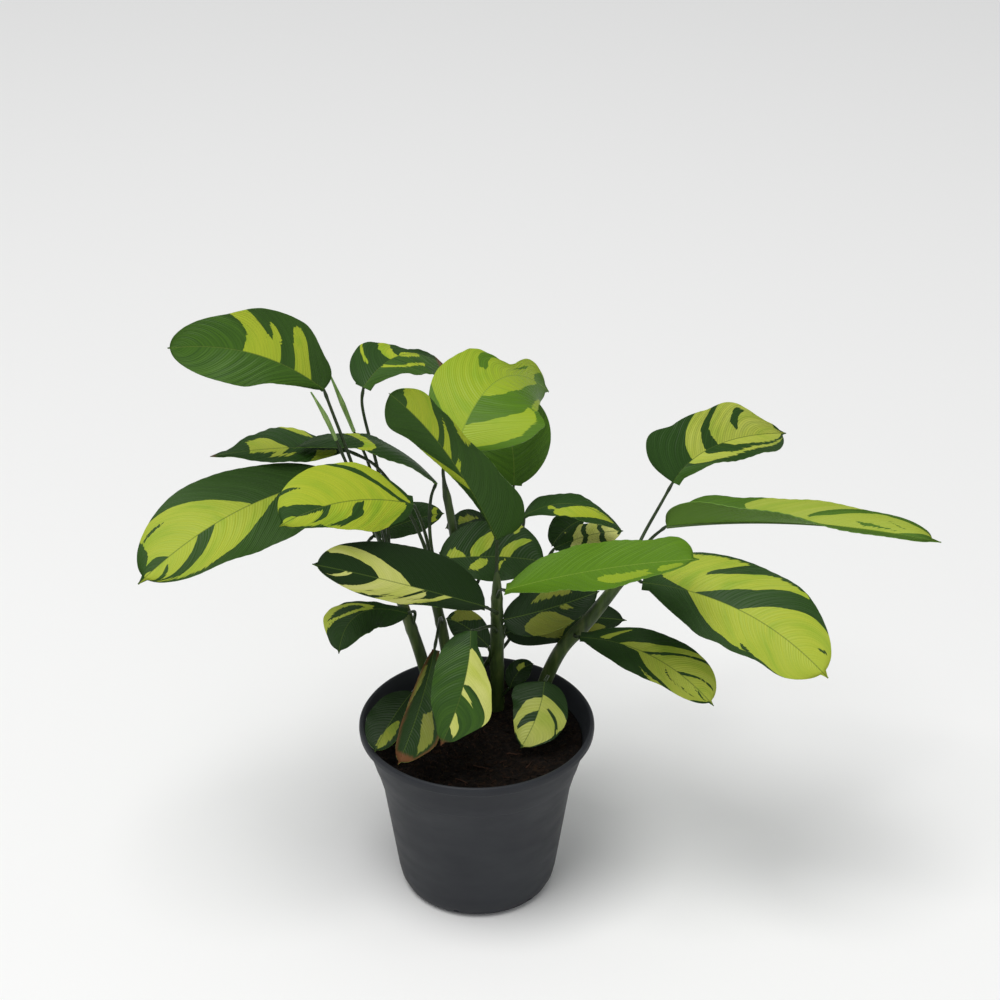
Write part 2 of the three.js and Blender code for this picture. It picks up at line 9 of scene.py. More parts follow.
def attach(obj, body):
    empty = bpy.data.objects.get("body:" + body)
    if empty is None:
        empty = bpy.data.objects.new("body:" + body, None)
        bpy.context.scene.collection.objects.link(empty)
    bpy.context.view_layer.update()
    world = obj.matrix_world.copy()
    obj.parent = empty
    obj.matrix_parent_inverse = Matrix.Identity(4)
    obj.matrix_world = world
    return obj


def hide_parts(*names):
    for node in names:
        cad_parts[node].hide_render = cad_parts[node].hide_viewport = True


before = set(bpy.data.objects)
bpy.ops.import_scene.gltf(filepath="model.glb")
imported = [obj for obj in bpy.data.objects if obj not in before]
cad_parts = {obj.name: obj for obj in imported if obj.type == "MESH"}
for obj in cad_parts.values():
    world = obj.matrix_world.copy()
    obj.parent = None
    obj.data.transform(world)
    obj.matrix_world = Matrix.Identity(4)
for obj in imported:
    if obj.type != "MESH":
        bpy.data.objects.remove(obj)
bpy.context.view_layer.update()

# Camera, floor and light: a plain pale studio, lit by a large soft light overhead and a weak one in
# front. The camera looks down at 30 degrees from 1.5 m away, at a point in the middle of the leaves.
MM = 0.001
FLOOR_HALF_WIDTH = 6
AIM = Vector((13.8, 0, 264)) * MM
DISTANCE = 1.5
LOOK_DOWN = radians(30)
scene = bpy.context.scene


def new_object(name, data):
    made = bpy.data.objects.new(name, data)
    scene.collection.objects.link(made)
    return made


camera = new_object("camera", bpy.data.cameras.new("camera"))
camera.data.sensor_width = 36
camera.data.lens = 95.4
camera.location = AIM + DISTANCE * Vector((0, -cos(LOOK_DOWN), sin(LOOK_DOWN)))
camera.rotation_euler = (pi / 2 - LOOK_DOWN, 0, 0)
camera.data.clip_end = 20
scene.camera = camera
scene.view_settings.view_transform = "Standard"


def studio_light(name, place, size, power, colour):
    lamp = bpy.data.lights.new(name, "AREA")
    lamp.shape, lamp.size, lamp.energy, lamp.color = "DISK", size, power, colour
    light = new_object(name, lamp)
    light.location = place
    light.rotation_euler = (AIM - Vector(place)).to_track_quat("-Z", "Y").to_euler()


studio_light("overhead_light", (-0.6, -0.8, 3.6), 2.3, 94, (1, 0.995, 0.98))
studio_light("front_light", (0.7, -1.7, 0.9), 0.9, 2.5, (0.97, 0.985, 1))

world = bpy.data.worlds.new("studio")
world.use_nodes = True
backdrop = world.node_tree.nodes["Background"].inputs
backdrop["Color"].default_value, backdrop["Strength"].default_value = (0.98, 0.99, 1, 1), 0.42
scene.world = world


def new_material(name, roughness=0.5, specular=0.5):
    material = bpy.data.materials.new(name)
    material.use_nodes = True
    shader = material.node_tree.nodes["Principled BSDF"]
    shader.inputs["Roughness"].default_value = roughness
    shader.inputs["Specular IOR Level"].default_value = specular
    return material


def new_piece(name, body, *materials):
    """A piece made of a finished body, which is used up."""
    mesh = bpy.data.meshes.new(name)
    body.to_mesh(mesh)
    body.free()
    for material in materials:
        mesh.materials.append(material)
    return new_object(name, mesh)


floor_paint = new_material("floor_paint", roughness=0.9, specular=0.2)
floor_shader = floor_paint.node_tree.nodes["Principled BSDF"]
floor_shader.inputs["Base Color"].default_value = (0.92, 0.92, 0.92, 1)
body = bmesh.new()
bmesh.ops.create_grid(body, x_segments=1, y_segments=1, size=FLOOR_HALF_WIDTH)
floor = new_piece("floor", body, floor_paint)

# The pot: one thin moulding of dark grey plastic, turned about its axis. It has a rolled rim, a
# collar that tapers in to a faint ledge, a plain wall, and a rounded foot with drain holes in its
# floor and six small notches in its edge.
POT_OUTSIDE = [(0, 0), (41, 0), (44.3, 2.2), (46.7, 7), (48, 13), (56.6, 72), (57.3, 74), (60.6, 86.6),
               (61.2, 87.2), (63.4, 95), (65.6, 104), (66.4, 106.4), (68.6, 107.2), (69.8, 108.2),
               (70, 110), (69.9, 111.6), (69.2, 112.7), (68.6, 113)]
POT_INSIDE = [(67.6, 112.8), (67, 112), (64.4, 105), (55.9, 74), (54.9, 72), (46.4, 13), (43, 4),
              (40.5, 1.6), (0, 1.6)]
POT_STEPS, EDGE_BEVEL, EDGE_ANGLE = 144, 0.3, 0.5
DRAIN_COUNT, DRAIN_RADIUS, DRAIN_CIRCLE, DRILL_DEPTH = 8, 4, 31, 6
NOTCH_COUNT, NOTCH_RADIUS, NOTCH_CIRCLE, NOTCH_HEIGHT = 6, 2.6, 46.3, 2.8
NOTCH_TURN = radians(-106)


def turned(section, steps):
    """A body turned from its section, which starts and ends on the axis."""
    body = bmesh.new()
    corners = [body.verts.new((r * MM, 0, z * MM)) for r, z in section]
    lines = [body.edges.new(pair) for pair in zip(corners, corners[1:])]
    bmesh.ops.spin(body, geom=corners + lines, cent=(0, 0, 0), axis=(0, 0, 1),
                   angle=2 * pi, steps=steps, use_merge=True)
    bmesh.ops.remove_doubles(body, verts=body.verts, dist=0.001 * MM)
    bmesh.ops.dissolve_degenerate(body, edges=body.edges, dist=0.001 * MM)
    bmesh.ops.recalc_face_normals(body, faces=body.faces)
    return body


def settle(piece, sharp):
    """Makes the piece's modifiers or curve into its mesh, smooth but for edges past sharp degrees."""
    bpy.context.view_layer.update()
    made = piece.evaluated_get(bpy.context.evaluated_depsgraph_get())
    mesh = bpy.data.meshes.new_from_object(made)
    name = piece.name
    bpy.data.objects.remove(piece)
    mesh.shade_smooth()
    mesh.set_sharp_from_angle(angle=radians(sharp))
    return new_object(name, mesh)


def new_group(name, inputs, outputs):
    """A shader node group, and the sockets of its first and last node, given as (label, kind)."""
    group = bpy.data.node_groups.new(name, "ShaderNodeTree")
    for way, sockets in (("INPUT", inputs), ("OUTPUT", outputs)):
        for label, kind in sockets:
            group.interface.new_socket(label, in_out=way, socket_type="NodeSocket" + kind)
    return group, group.nodes.new("NodeGroupInput").outputs, group.nodes.new("NodeGroupOutput").inputs


grain_group, given, result = new_group(
    "grain", [("Place", "Vector"), ("Stretch", "Vector"), ("Scale", "Float"), ("Detail", "Float")],
    [("Speckle", "Float")])
turn = grain_group.nodes.new("ShaderNodeMapping")
speckle = grain_group.nodes.new("ShaderNodeTexNoise")
for start, end in ((given["Place"], turn.inputs["Vector"]), (given["Stretch"], turn.inputs["Scale"]),
                   (turn.outputs["Vector"], speckle.inputs["Vector"]),
                   (given["Scale"], speckle.inputs["Scale"]), (given["Detail"], speckle.inputs["Detail"]),
                   (speckle.outputs["Fac"], result["Speckle"])):
    grain_group.links.new(start, end)


def grain(material, scale, detail, stretch=(1, 1, 1)):
    """The grain group on Object coordinates in metres, squeezed along each axis by stretch."""
    nodes = material.node_tree.nodes
    node = nodes.new("ShaderNodeGroup")
    node.node_tree = grain_group
    for label, value in (("Scale", scale), ("Detail", detail), ("Stretch", stretch)):
        node.inputs[label].default_value = value
    place = nodes.new("ShaderNodeTexCoord").outputs["Object"]
    material.node_tree.links.new(place, node.inputs["Place"])
    return node.outputs["Speckle"]


def tint(material, value, *stops, onto="Base Color"):
    """Sets the material's colour, or another input, by a ramp through (position, colour) stops."""
    nodes, links = material.node_tree.nodes, material.node_tree.links
    band = nodes.new("ShaderNodeValToRGB")
    while len(band.color_ramp.elements) < len(stops):
        band.color_ramp.elements.new(0.5)
    for element, (position, colour) in zip(band.color_ramp.elements, stops):
        element.position = position
        element.color = (*colour, 1)
    links.new(value, band.inputs["Fac"])
    links.new(band.outputs["Color"], nodes["Principled BSDF"].inputs[onto])


def bump(material, height, distance, strength=1.0):
    nodes, links = material.node_tree.nodes, material.node_tree.links
    relief = nodes.new("ShaderNodeBump")
    relief.inputs["Distance"].default_value = distance
    relief.inputs["Strength"].default_value = strength
    links.new(height, relief.inputs["Height"])
    links.new(relief.outputs["Normal"], nodes["Principled BSDF"].inputs["Normal"])


def around(count, circle, height, turn=0.0):
    """Evenly spaced places on a circle about the pot's axis, in mm."""
    for i in range(count):
        angle = turn + 2 * pi * i / count
        x, y = circle * cos(angle), circle * sin(angle)
        yield Matrix.Translation(Vector((x, y, height)) * MM)


pot_plastic = new_material("pot_plastic", specular=0.22)
tint(pot_plastic, grain(pot_plastic, scale=26, detail=6),
     (0.3, (0.020, 0.022, 0.027)), (0.7, (0.028, 0.031, 0.036)))
tint(pot_plastic, grain(pot_plastic, scale=40, detail=6, stretch=(1, 1, 3)),
     (0.35, (0.48,) * 3), (0.7, (0.58,) * 3), onto="Roughness")
bump(pot_plastic, grain(pot_plastic, scale=1600, detail=2), distance=0.05 * MM, strength=0.5)

pot = new_piece("pot_moulding", turned(POT_OUTSIDE + POT_INSIDE, POT_STEPS), pot_plastic)
drills = bmesh.new()
for place in around(DRAIN_COUNT, DRAIN_CIRCLE, height=0, turn=pi / DRAIN_COUNT):
    bmesh.ops.create_cone(drills, cap_ends=True, segments=32, radius1=DRAIN_RADIUS * MM,
                          radius2=DRAIN_RADIUS * MM, depth=DRILL_DEPTH * MM, matrix=place)
for place in around(NOTCH_COUNT, NOTCH_CIRCLE, NOTCH_HEIGHT, NOTCH_TURN):
    bmesh.ops.create_uvsphere(drills, u_segments=20, v_segments=12, radius=NOTCH_RADIUS * MM,
                              matrix=place)
drill = new_piece("drain_drills", drills)
cut = pot.modifiers.new("drain_holes", "BOOLEAN")
cut.object, cut.operation, cut.solver = drill, "DIFFERENCE", "EXACT"
edge = pot.modifiers.new("soft_edges", "BEVEL")
edge.width, edge.segments = EDGE_BEVEL * MM, 2
edge.limit_method, edge.angle_limit = "ANGLE", EDGE_ANGLE
pot = settle(pot, sharp=35)
bpy.data.objects.remove(drill)
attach(pot, "root")
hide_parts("pot")

# The soil: a dark, fibrous potting mix that fills the pot to 12 mm below its rim. Its top is
# crumbly, and crumbs, reddish fibres and a few short twigs lie loose on it.
SOIL_LEVEL, SOIL_RADIUS = 101, 62.8
SOIL_SECTION = [(0, 1.95), (40, 1.95), (42.4, 4.4), (46, 13), (54.5, 72), (55.5, 74),
                (SOIL_RADIUS, SOIL_LEVEL - 0.6)]
SOIL_RINGS, SOIL_STEPS = 78, 240
LUMP_HEIGHT, LUMP_WAVES = 1.3, 0.16
CRUMB_COUNT, CRUMB_RADII, CRUMB_EDGE = 1100, (0.35, 0.9), 2.5
BIG_CRUMB_SHARE, BIG_CRUMB_SIZE = 0.06, 2.2


def soil_height(x, y):
    """The top of the soil, in mm."""
    swell = sin(x / 9 + 1) * cos(y / 7) + 0.5 * sin((x + y) / 5)
    lumps = noise.fractal(Vector((x, y, 0)) * LUMP_WAVES, 0.9, 2.1, 5)
    return SOIL_LEVEL + swell + LUMP_HEIGHT * lumps


soil_mix = new_material("soil_mix", roughness=0.95, specular=0.15)
clods = grain(soil_mix, scale=420, detail=8)
tint(soil_mix, clods, (0.35, (0.0025, 0.0016, 0.001)), (0.52, (0.006, 0.0035, 0.0022)),
     (0.68, (0.018, 0.0095, 0.005)))
bump(soil_mix, clods, distance=1.2 * MM)

rings = [(SOIL_RADIUS * (1 - i / SOIL_RINGS), SOIL_LEVEL) for i in range(1, SOIL_RINGS + 1)]
body = turned(SOIL_SECTION + rings, SOIL_STEPS)
for vert in body.verts:
    if vert.co.z > (SOIL_LEVEL - 0.1) * MM:
        vert.co.z = soil_height(vert.co.x / MM, vert.co.y / MM) * MM
soil = new_piece("soil_bed", body, soil_mix)
soil.data.shade_smooth()
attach(soil, "root")
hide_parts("soil")

chance = random.Random(7)


def scattered(edge):
    """A random place on the soil, in mm, at least edge from its margin."""
    far = (SOIL_RADIUS - edge) * sqrt(chance.random())
    angle = chance.uniform(0, 2 * pi)
    return far * cos(angle), far * sin(angle)


crumb_mix = new_material("crumb_mix", roughness=0.95, specular=0.15)
tint(crumb_mix, grain(crumb_mix, scale=160, detail=4), (0.35, (0.003, 0.002, 0.0013)),
     (0.55, (0.010, 0.0055, 0.003)), (0.72, (0.034, 0.017, 0.009)))
bump(crumb_mix, grain(crumb_mix, scale=1400, detail=5), distance=0.5 * MM)
body = bmesh.new()
for _ in range(CRUMB_COUNT):
    x, y = scattered(CRUMB_EDGE)
    size = chance.uniform(*CRUMB_RADII) * (BIG_CRUMB_SIZE if chance.random() < BIG_CRUMB_SHARE else 1)
    wide, deep, high = (chance.uniform(*ends) for ends in ((0.7, 1.7), (0.7, 1.2), (0.4, 0.9)))
    turn = (Matrix.Rotation(chance.uniform(0, 2 * pi), 4, "Z")
            @ Matrix.Rotation(chance.uniform(-0.5, 0.5), 4, "X"))
    place = Matrix.Translation(Vector((x, y, soil_height(x, y) + 0.2 * size)) * MM)
    crumb = bmesh.ops.create_icosphere(body, subdivisions=1, radius=size * MM,
                                       matrix=place @ turn @ Matrix.Diagonal((wide, deep, high, 1)))
    for vert in crumb["verts"]:
        vert.co += Vector([chance.uniform(-0.18, 0.18) * size * MM for _ in range(3)])
crumbs = new_piece("soil_crumbs", body, crumb_mix)
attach(crumbs, "root")


def strands(name, roundness, *materials):
    """An empty set of round strands, whose points carry their radius."""
    curve = bpy.data.curves.new(name, "CURVE")
    curve.dimensions, curve.bevel_depth, curve.use_fill_caps = "3D", MM, True
    curve.bevel_resolution = roundness
    for material in materials:
        curve.materials.append(material)
    return new_object(name, curve)


def add_strand(piece, points, material=0):
    """One strand through points in mm as (x, y, z, radius)."""
    spline = piece.data.splines.new("POLY")
    spline.points.add(len(points) - 1)
    for point, (x, y, z, radius) in zip(spline.points, points):
        point.co = (x * MM, y * MM, z * MM, 1)
        point.radius = radius
    spline.material_index = material


FIBRE_COUNT, FIBRE_STEPS, FIBRE_EDGE = 150, 4, 7
FIBRE_LENGTHS, FIBRE_RADII = (1.5, 5), (0.08, 0.2)
TWIG_STEPS, TWIG_LIFT = 5, 0.7
TWIGS = [((-2, -30), (7, -34), 0.45), ((18, -18), (27, -21), 0.4), ((-12, -44), (-5, -50), 0.35),
         ((29, -33), (33, -27), 0.4), ((30, -8), (40, -6), 0.45), ((-40, 20), (-33, 28), 0.4),
         ((0, 48), (9, 44), 0.45)]
fibre_brown = new_material("fibre_brown", roughness=0.85, specular=0.2)
tint(fibre_brown, grain(fibre_brown, scale=90, detail=3), (0.35, (0.016, 0.008, 0.005)),
     (0.7, (0.075, 0.032, 0.017)))
fibres = strands("soil_fibres", 1, fibre_brown)
for _ in range(FIBRE_COUNT):
    x, y = scattered(FIBRE_EDGE)
    heading = chance.uniform(0, 2 * pi)
    length, thick = chance.uniform(*FIBRE_LENGTHS), chance.uniform(*FIBRE_RADII)
    step = length / FIBRE_STEPS
    points = []
    for k in range(FIBRE_STEPS + 1):
        lift = 0.3 + 0.5 * sin(pi * k / FIBRE_STEPS)
        points.append((x, y, soil_height(x, y) + lift, thick * (1 - 0.15 * k)))
        heading += chance.uniform(-0.6, 0.6)
        x, y = x + step * cos(heading), y + step * sin(heading)
    add_strand(fibres, points)
for (x0, y0), (x1, y1), thick in TWIGS:
    points = []
    for k in range(TWIG_STEPS + 1):
        x, y = x0 + (x1 - x0) * k / TWIG_STEPS, y0 + (y1 - y0) * k / TWIG_STEPS
        points.append((x, y, soil_height(x, y) + TWIG_LIFT, thick * (1.1 - 0.1 * k)))
    add_strand(fibres, points)
fibres = settle(fibres, sharp=60)
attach(fibres, "root")

# The shoots: five upright canes wrapped in green leaf sheaths. From each one thin petioles rise,
# each with a clasping foot and, at its leaf, the slightly thicker joint that turns the blade.
ROOT_DEPTH, PATH_STEPS = 26, 14
CANE_TAPER, CANE_TOP, RING_SWELL, RING_HEIGHT = 14, 0.42, 0.1, 2.2
PETIOLE_RADIUS, PETIOLE_END_RADIUS, FOOT_SWELL = 1.05, 0.75, 0.8
JOINT_SWELL, JOINT_PLACE, JOINT_LENGTH = 0.28, 0.9, 0.06
# A shoot is its cane's places and radii, and the places of the petiole to each leaf.
SHOOTS = {
    "shoot_1": (
        [(-26, 28, 101, 3.9), (-33, 18, 146, 3.7), (-41, 14, 178, 3.4), (-49, 13, 207, 2.8),
         (-53, 14, 226, 1.8)],
        {1: [(-50, 13, 212), (-59, 12, 240), (-71, 8, 287), (-81, 5, 322), (-84, 5, 332)],
         2: [(-51, 14, 214), (-52, 32, 239), (-58, 48, 260), (-66, 56, 296), (-65, 57, 306)],
         8: [(-49, 13, 205), (-54, 17, 236), (-64, 20, 258), (-75, 20, 267)],
         10: [(-49, 13, 204), (-58, 26, 208), (-64, 36, 213), (-61, 48, 212)],
         12: [(-38, 15, 168), (-36, 8, 184), (-40, 0, 188)],
         15: [(-27, 26, 108), (-31, 8, 133), (-38, -8, 138)],
         "rolled_leaf_1": [(-52, 14, 220), (-57, 30, 244), (-63, 46, 263), (-71, 52, 280)],
         "rolled_leaf_2": [(-51, 13, 216), (-61, 10, 248), (-71, 5, 280), (-78, 2, 302)]}),
    "shoot_2": (
        [(-14, 32, 101, 3.5), (-20, 22, 160, 3.3), (-25, 20, 192, 2.9), (-25, 21, 216, 2.2)],
        {7: [(-25, 20, 208), (-27, 24, 232), (-26, 32, 248), (-23, 36, 255)],
         6: [(-25, 20, 206), (-38, 30, 236), (-58, 36, 266), (-75, 34, 278)],
         9: [(-25, 20, 204), (-29, 10, 235), (-33, -5, 259), (-35, -10, 267)],
         14: [(-21, 22, 168), (-21, 4, 182), (-22, -12, 184), (-24, -20, 176)]}),
    "shoot_3": (
        [(-2, 36, 101, 3.2), (-4, 36, 139, 3.1), (-9, 37, 181, 2.9), (-14, 38, 224, 2.6),
         (-19, 38, 256, 2.2)],
        {3: [(-17, 38, 244), (-19, 36, 264), (-15, 31, 276), (-11, 30, 282)],
         4: [(-10, 38, 186), (6, 54, 194), (20, 76, 214), (22, 85, 225)],
         18: [(-7, 37, 168), (4, 46, 190), (10, 54, 204), (9, 56, 210)],
         19: [(-8, 36, 176), (-20, 24, 200), (-21, 19, 213)],
         20: [(-3, 36, 120), (20, 48, 140), (27, 48, 178), (27, 45, 214), (28, 35, 233)],
         30: [(-3, 35, 118), (6, 22, 140), (8, 15, 150), (7, 8, 160)]}),
    "shoot_4": (
        [(12, 30, 101, 4.4), (12, 20, 150, 4.1), (12, 11, 190, 3.4), (12, 7, 214, 1.9)],
        {5: [(12, 8, 208), (12, 6, 224), (12, 5, 235)],
         11: [(12, 13, 180), (11, -3, 191), (5, -10, 199)],
         13: [(12, 16, 165), (8, -3, 181), (0, -18, 188), (-3, -25, 192)],
         17: [(12, 28, 108), (16, 26, 114), (20, 24, 120)],
         22: [(12, 19, 155), (26, 32, 180), (40, 42, 197), (46, 45, 205)],
         23: [(12, 10, 192), (14, 0, 204), (17, -10, 210)],
         28: [(12, 17, 160), (14, 14, 170), (16, 12, 176)],
         29: [(12, 23, 136), (14, 26, 149), (17, 28, 156)]}),
    "shoot_5": (
        [(36, 28, 101, 4.3), (49, 24, 145, 4.2), (67, 20, 172, 4.1), (80, 18, 193, 3.6),
         (91, 20, 209, 2.4)],
        {16: [(38, 27, 108), (41, 14, 132), (42, 6, 140), (40, 2, 139)],
         21: [(62, 21, 165), (68, 46, 176), (73, 61, 211), (64, 66, 213)],
         24: [(84, 18, 198), (91, 8, 207), (96, 0, 209)],
         25: [(58, 22, 160), (58, 14, 163), (61, 10, 165)],
         26: [(88, 19, 205), (97, 34, 219), (108, 44, 236), (115, 50, 247)],
         27: [(89, 20, 206), (101, 20, 226), (110, 20, 235)]}),
}


def smooth_path(knots, steps):
    """Points on a centripetal Catmull-Rom curve through the knots, with any radius they carry."""
    knots = [list(map(float, k)) for k in knots]
    first = [2 * a - b for a, b in zip(knots[0], knots[1])]
    last = [2 * a - b for a, b in zip(knots[-1], knots[-2])]
    ends = [first, *knots, last]
    path = []
    for i in range(1, len(ends) - 2):
        p0, p1, p2, p3 = (Vector(k[:3]) for k in ends[i - 1:i + 3])
        d0, d1, d2 = (max((b - a).length, 1e-4) ** 0.5 for a, b in ((p0, p1), (p1, p2), (p2, p3)))
        out = ((p1 - p0) / d0 - (p2 - p0) / (d0 + d1) + (p2 - p1) / d1) * d1
        into = ((p2 - p1) / d1 - (p3 - p1) / (d1 + d2) + (p3 - p2) / d2) * d1
        for k in range(steps):
            t = k / steps
            point = ((2 * t ** 3 - 3 * t * t + 1) * p1 + (t ** 3 - 2 * t * t + t) * out
                     + (3 * t * t - 2 * t ** 3) * p2 + (t ** 3 - t * t) * into)
            extra = [a + (b - a) * t for a, b in zip(ends[i][3:], ends[i + 1][3:])]
            path.append((*point, *extra))
    path.append(tuple(knots[-1]))
    return path


def cane_radius(x, y, z, radius, top, feet):
    """The cane's radius at a place: a ring at each petiole's foot, and a taper to the top."""
    ring = 1 + RING_SWELL * max(exp(-((z - foot) / RING_HEIGHT) ** 2) for foot in feet)
    left = min(1, (Vector(top[:3]) - Vector((x, y, z))).length / CANE_TAPER)
    return radius * ring * (CANE_TOP + (1 - CANE_TOP) * sin(left * pi / 2))


def petiole_radius(t):
    """The petiole's radius from foot to leaf: a clasping foot, a thin stalk and a thicker joint."""
    foot = FOOT_SWELL * max(0, 1 - 4 * t) ** 2
    joint = JOINT_SWELL * exp(-((t - JOINT_PLACE) / JOINT_LENGTH) ** 2)
    return PETIOLE_RADIUS + foot + joint - (PETIOLE_RADIUS - PETIOLE_END_RADIUS) * t * t


cane_skin = new_material("cane_skin", roughness=0.5, specular=0.35)
streaks = grain(cane_skin, scale=260, detail=5, stretch=(1, 1, 0.08))
tint(cane_skin, streaks, (0.3, (0.017, 0.034, 0.008)), (0.55, (0.045, 0.078, 0.014)),
     (0.75, (0.090, 0.110, 0.030)))
bump(cane_skin, streaks, distance=0.35 * MM)
petiole_skin = new_material("petiole_skin", roughness=0.45, specular=0.35)
streaks = grain(petiole_skin, scale=300, detail=4, stretch=(1, 1, 0.1))
tint(petiole_skin, streaks, (0.3, (0.008, 0.019, 0.005)), (0.7, (0.026, 0.048, 0.010)))
bump(petiole_skin, streaks, distance=0.15 * MM)

leaf_feet = {}
for shoot_name, (cane, petioles) in SHOOTS.items():
    piece = strands(shoot_name + "_stems", 4, cane_skin, petiole_skin)
    x, y, z, radius = cane[0]
    feet = [points[0][2] for points in petioles.values()]
    path = smooth_path([(x, y, z - ROOT_DEPTH, radius), *cane], PATH_STEPS)
    add_strand(piece, [(x, y, z, cane_radius(x, y, z, r, cane[-1], feet)) for x, y, z, r in path])
    for leaf, points in petioles.items():
        path = smooth_path(points, PATH_STEPS)
        last = len(path) - 1
        stalk = [(*place, petiole_radius(k / last)) for k, place in enumerate(path)]
        add_strand(piece, stalk, material=1)
        leaf_feet[leaf] = points[-1]
    piece = settle(piece, sharp=60)
    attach(piece, "root")
    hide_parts(shoot_name)

# The rolled leaves: two new blades, still rolled lengthwise into slim pale green spikes that
# taper to a point, each with the edge of its outer turn winding up it.
SPIKE_FOOT_RADIUS, SPIKE_STEPS = 1.1, 20
EDGE_RADIUS, EDGE_START, EDGE_TURN = 0.2, 0.6, 2.4
ROLLED_LEAVES = {
    "rolled_leaf_1": [(-77, 52, 298, 1.6), (-84, 52, 318, 0.4)],
    "rolled_leaf_2": [(-83, -3, 319, 1.5), (-90, -8, 337, 0.4)],
}
spike_green = new_material("spike_green", roughness=0.45, specular=0.35)
streaks = grain(spike_green, scale=300, detail=3, stretch=(1, 1, 0.12))
tint(spike_green, streaks, (0.35, (0.085, 0.19, 0.032)), (0.65, (0.24, 0.38, 0.11)))
bump(spike_green, streaks, distance=0.2 * MM)
for name, knots in ROLLED_LEAVES.items():
    piece = strands(name + "_spike", 5, spike_green)
    path = smooth_path([(*leaf_feet[name], SPIKE_FOOT_RADIUS), *knots], SPIKE_STEPS)
    add_strand(piece, path)
    edge_line = []
    for k, (x, y, z, r) in enumerate(path):
        angle = EDGE_START + EDGE_TURN * k / len(path)
        edge_line.append((x + r * cos(angle), y + r * sin(angle), z, EDGE_RADIUS))
    add_strand(piece, edge_line)
    piece = settle(piece, sharp=60)
    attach(piece, "root")
    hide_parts(name)

# The leaves: thin satin blades, dark green with yellow-green to cream bands that run along the
# side veins, out from the midrib and towards the tip. Their undersides are paler and duller, and
# a raised midrib runs below each, on from its petiole.
BLADE_THICKNESS = 0.45
OUTLINE_END, LEAST_WIDTH = 0.967, 0.015
DRIP_WIDTH, DRIP_LENGTH, NECK_WIDTH, NECK_LENGTH = 0.2, 0.09, 0.05, 0.08
MARGIN_STATIONS = [0.1, 0.3, 0.5, 0.7, 0.9]
VEIN_LEAN, VEIN_CURVE = 0.10, 0.16
PLEAT_HEIGHT, PLEAT_SPACING, PLEAT_START = 0.26, 6.5, 5
WAVE_HEIGHT, WAVE_COUNT, WAVE_SHIFT = 0.9, 2.6, 1.7
RIB_RADIUS, RIB_LEAST, RIB_SINK, RIB_END, RIB_STEPS = 0.8, 0.1, 0.16, 0.97, 28

# A leaf's midrib bends from its petiole through mid to tip, and its face looks to an azimuth from
# the front and an elevation. widths, widest and margin are the left and right half's, seen with the
# tip ahead; margin widens the outline at MARGIN_STATIONS, and fold and curl lift the halves. A band
# is (v, from, to, v, from, to ...): at v, from -1 at the left margin to 1 at the right, it covers the
# veins that leave the midrib between from and to. dark bands cut into yellow ones, and light is a
# lighter green. cream pales the yellow, and dull turns it olive as painted shade on the lower leaves.
# young lightens the green and turns the yellow greener and darker, which on leaf 3 is partly painted
# shade. The value that deepens the green stands for shade and age: painted shade on the lower leaves,
# along with the darker green of older leaves. dry browns the last mm of the tip, and brown_edge the
# margins.
PLAIN_LEAF = dict(widest=(0.5, 0.5), blunt=0.5, drip=1, fold=0, curl=0, margin=([1] * 5, [1] * 5),
                  yellow=[], dark=[], light=[], cream=0, young=0, old=0, dull=0, dry=0, brown_edge=0)
LEFT_HALF, RIGHT_HALF = (-1, -0.3, 1, 0, -0.3, 1), (0, -0.3, 1, 1, -0.3, 1)
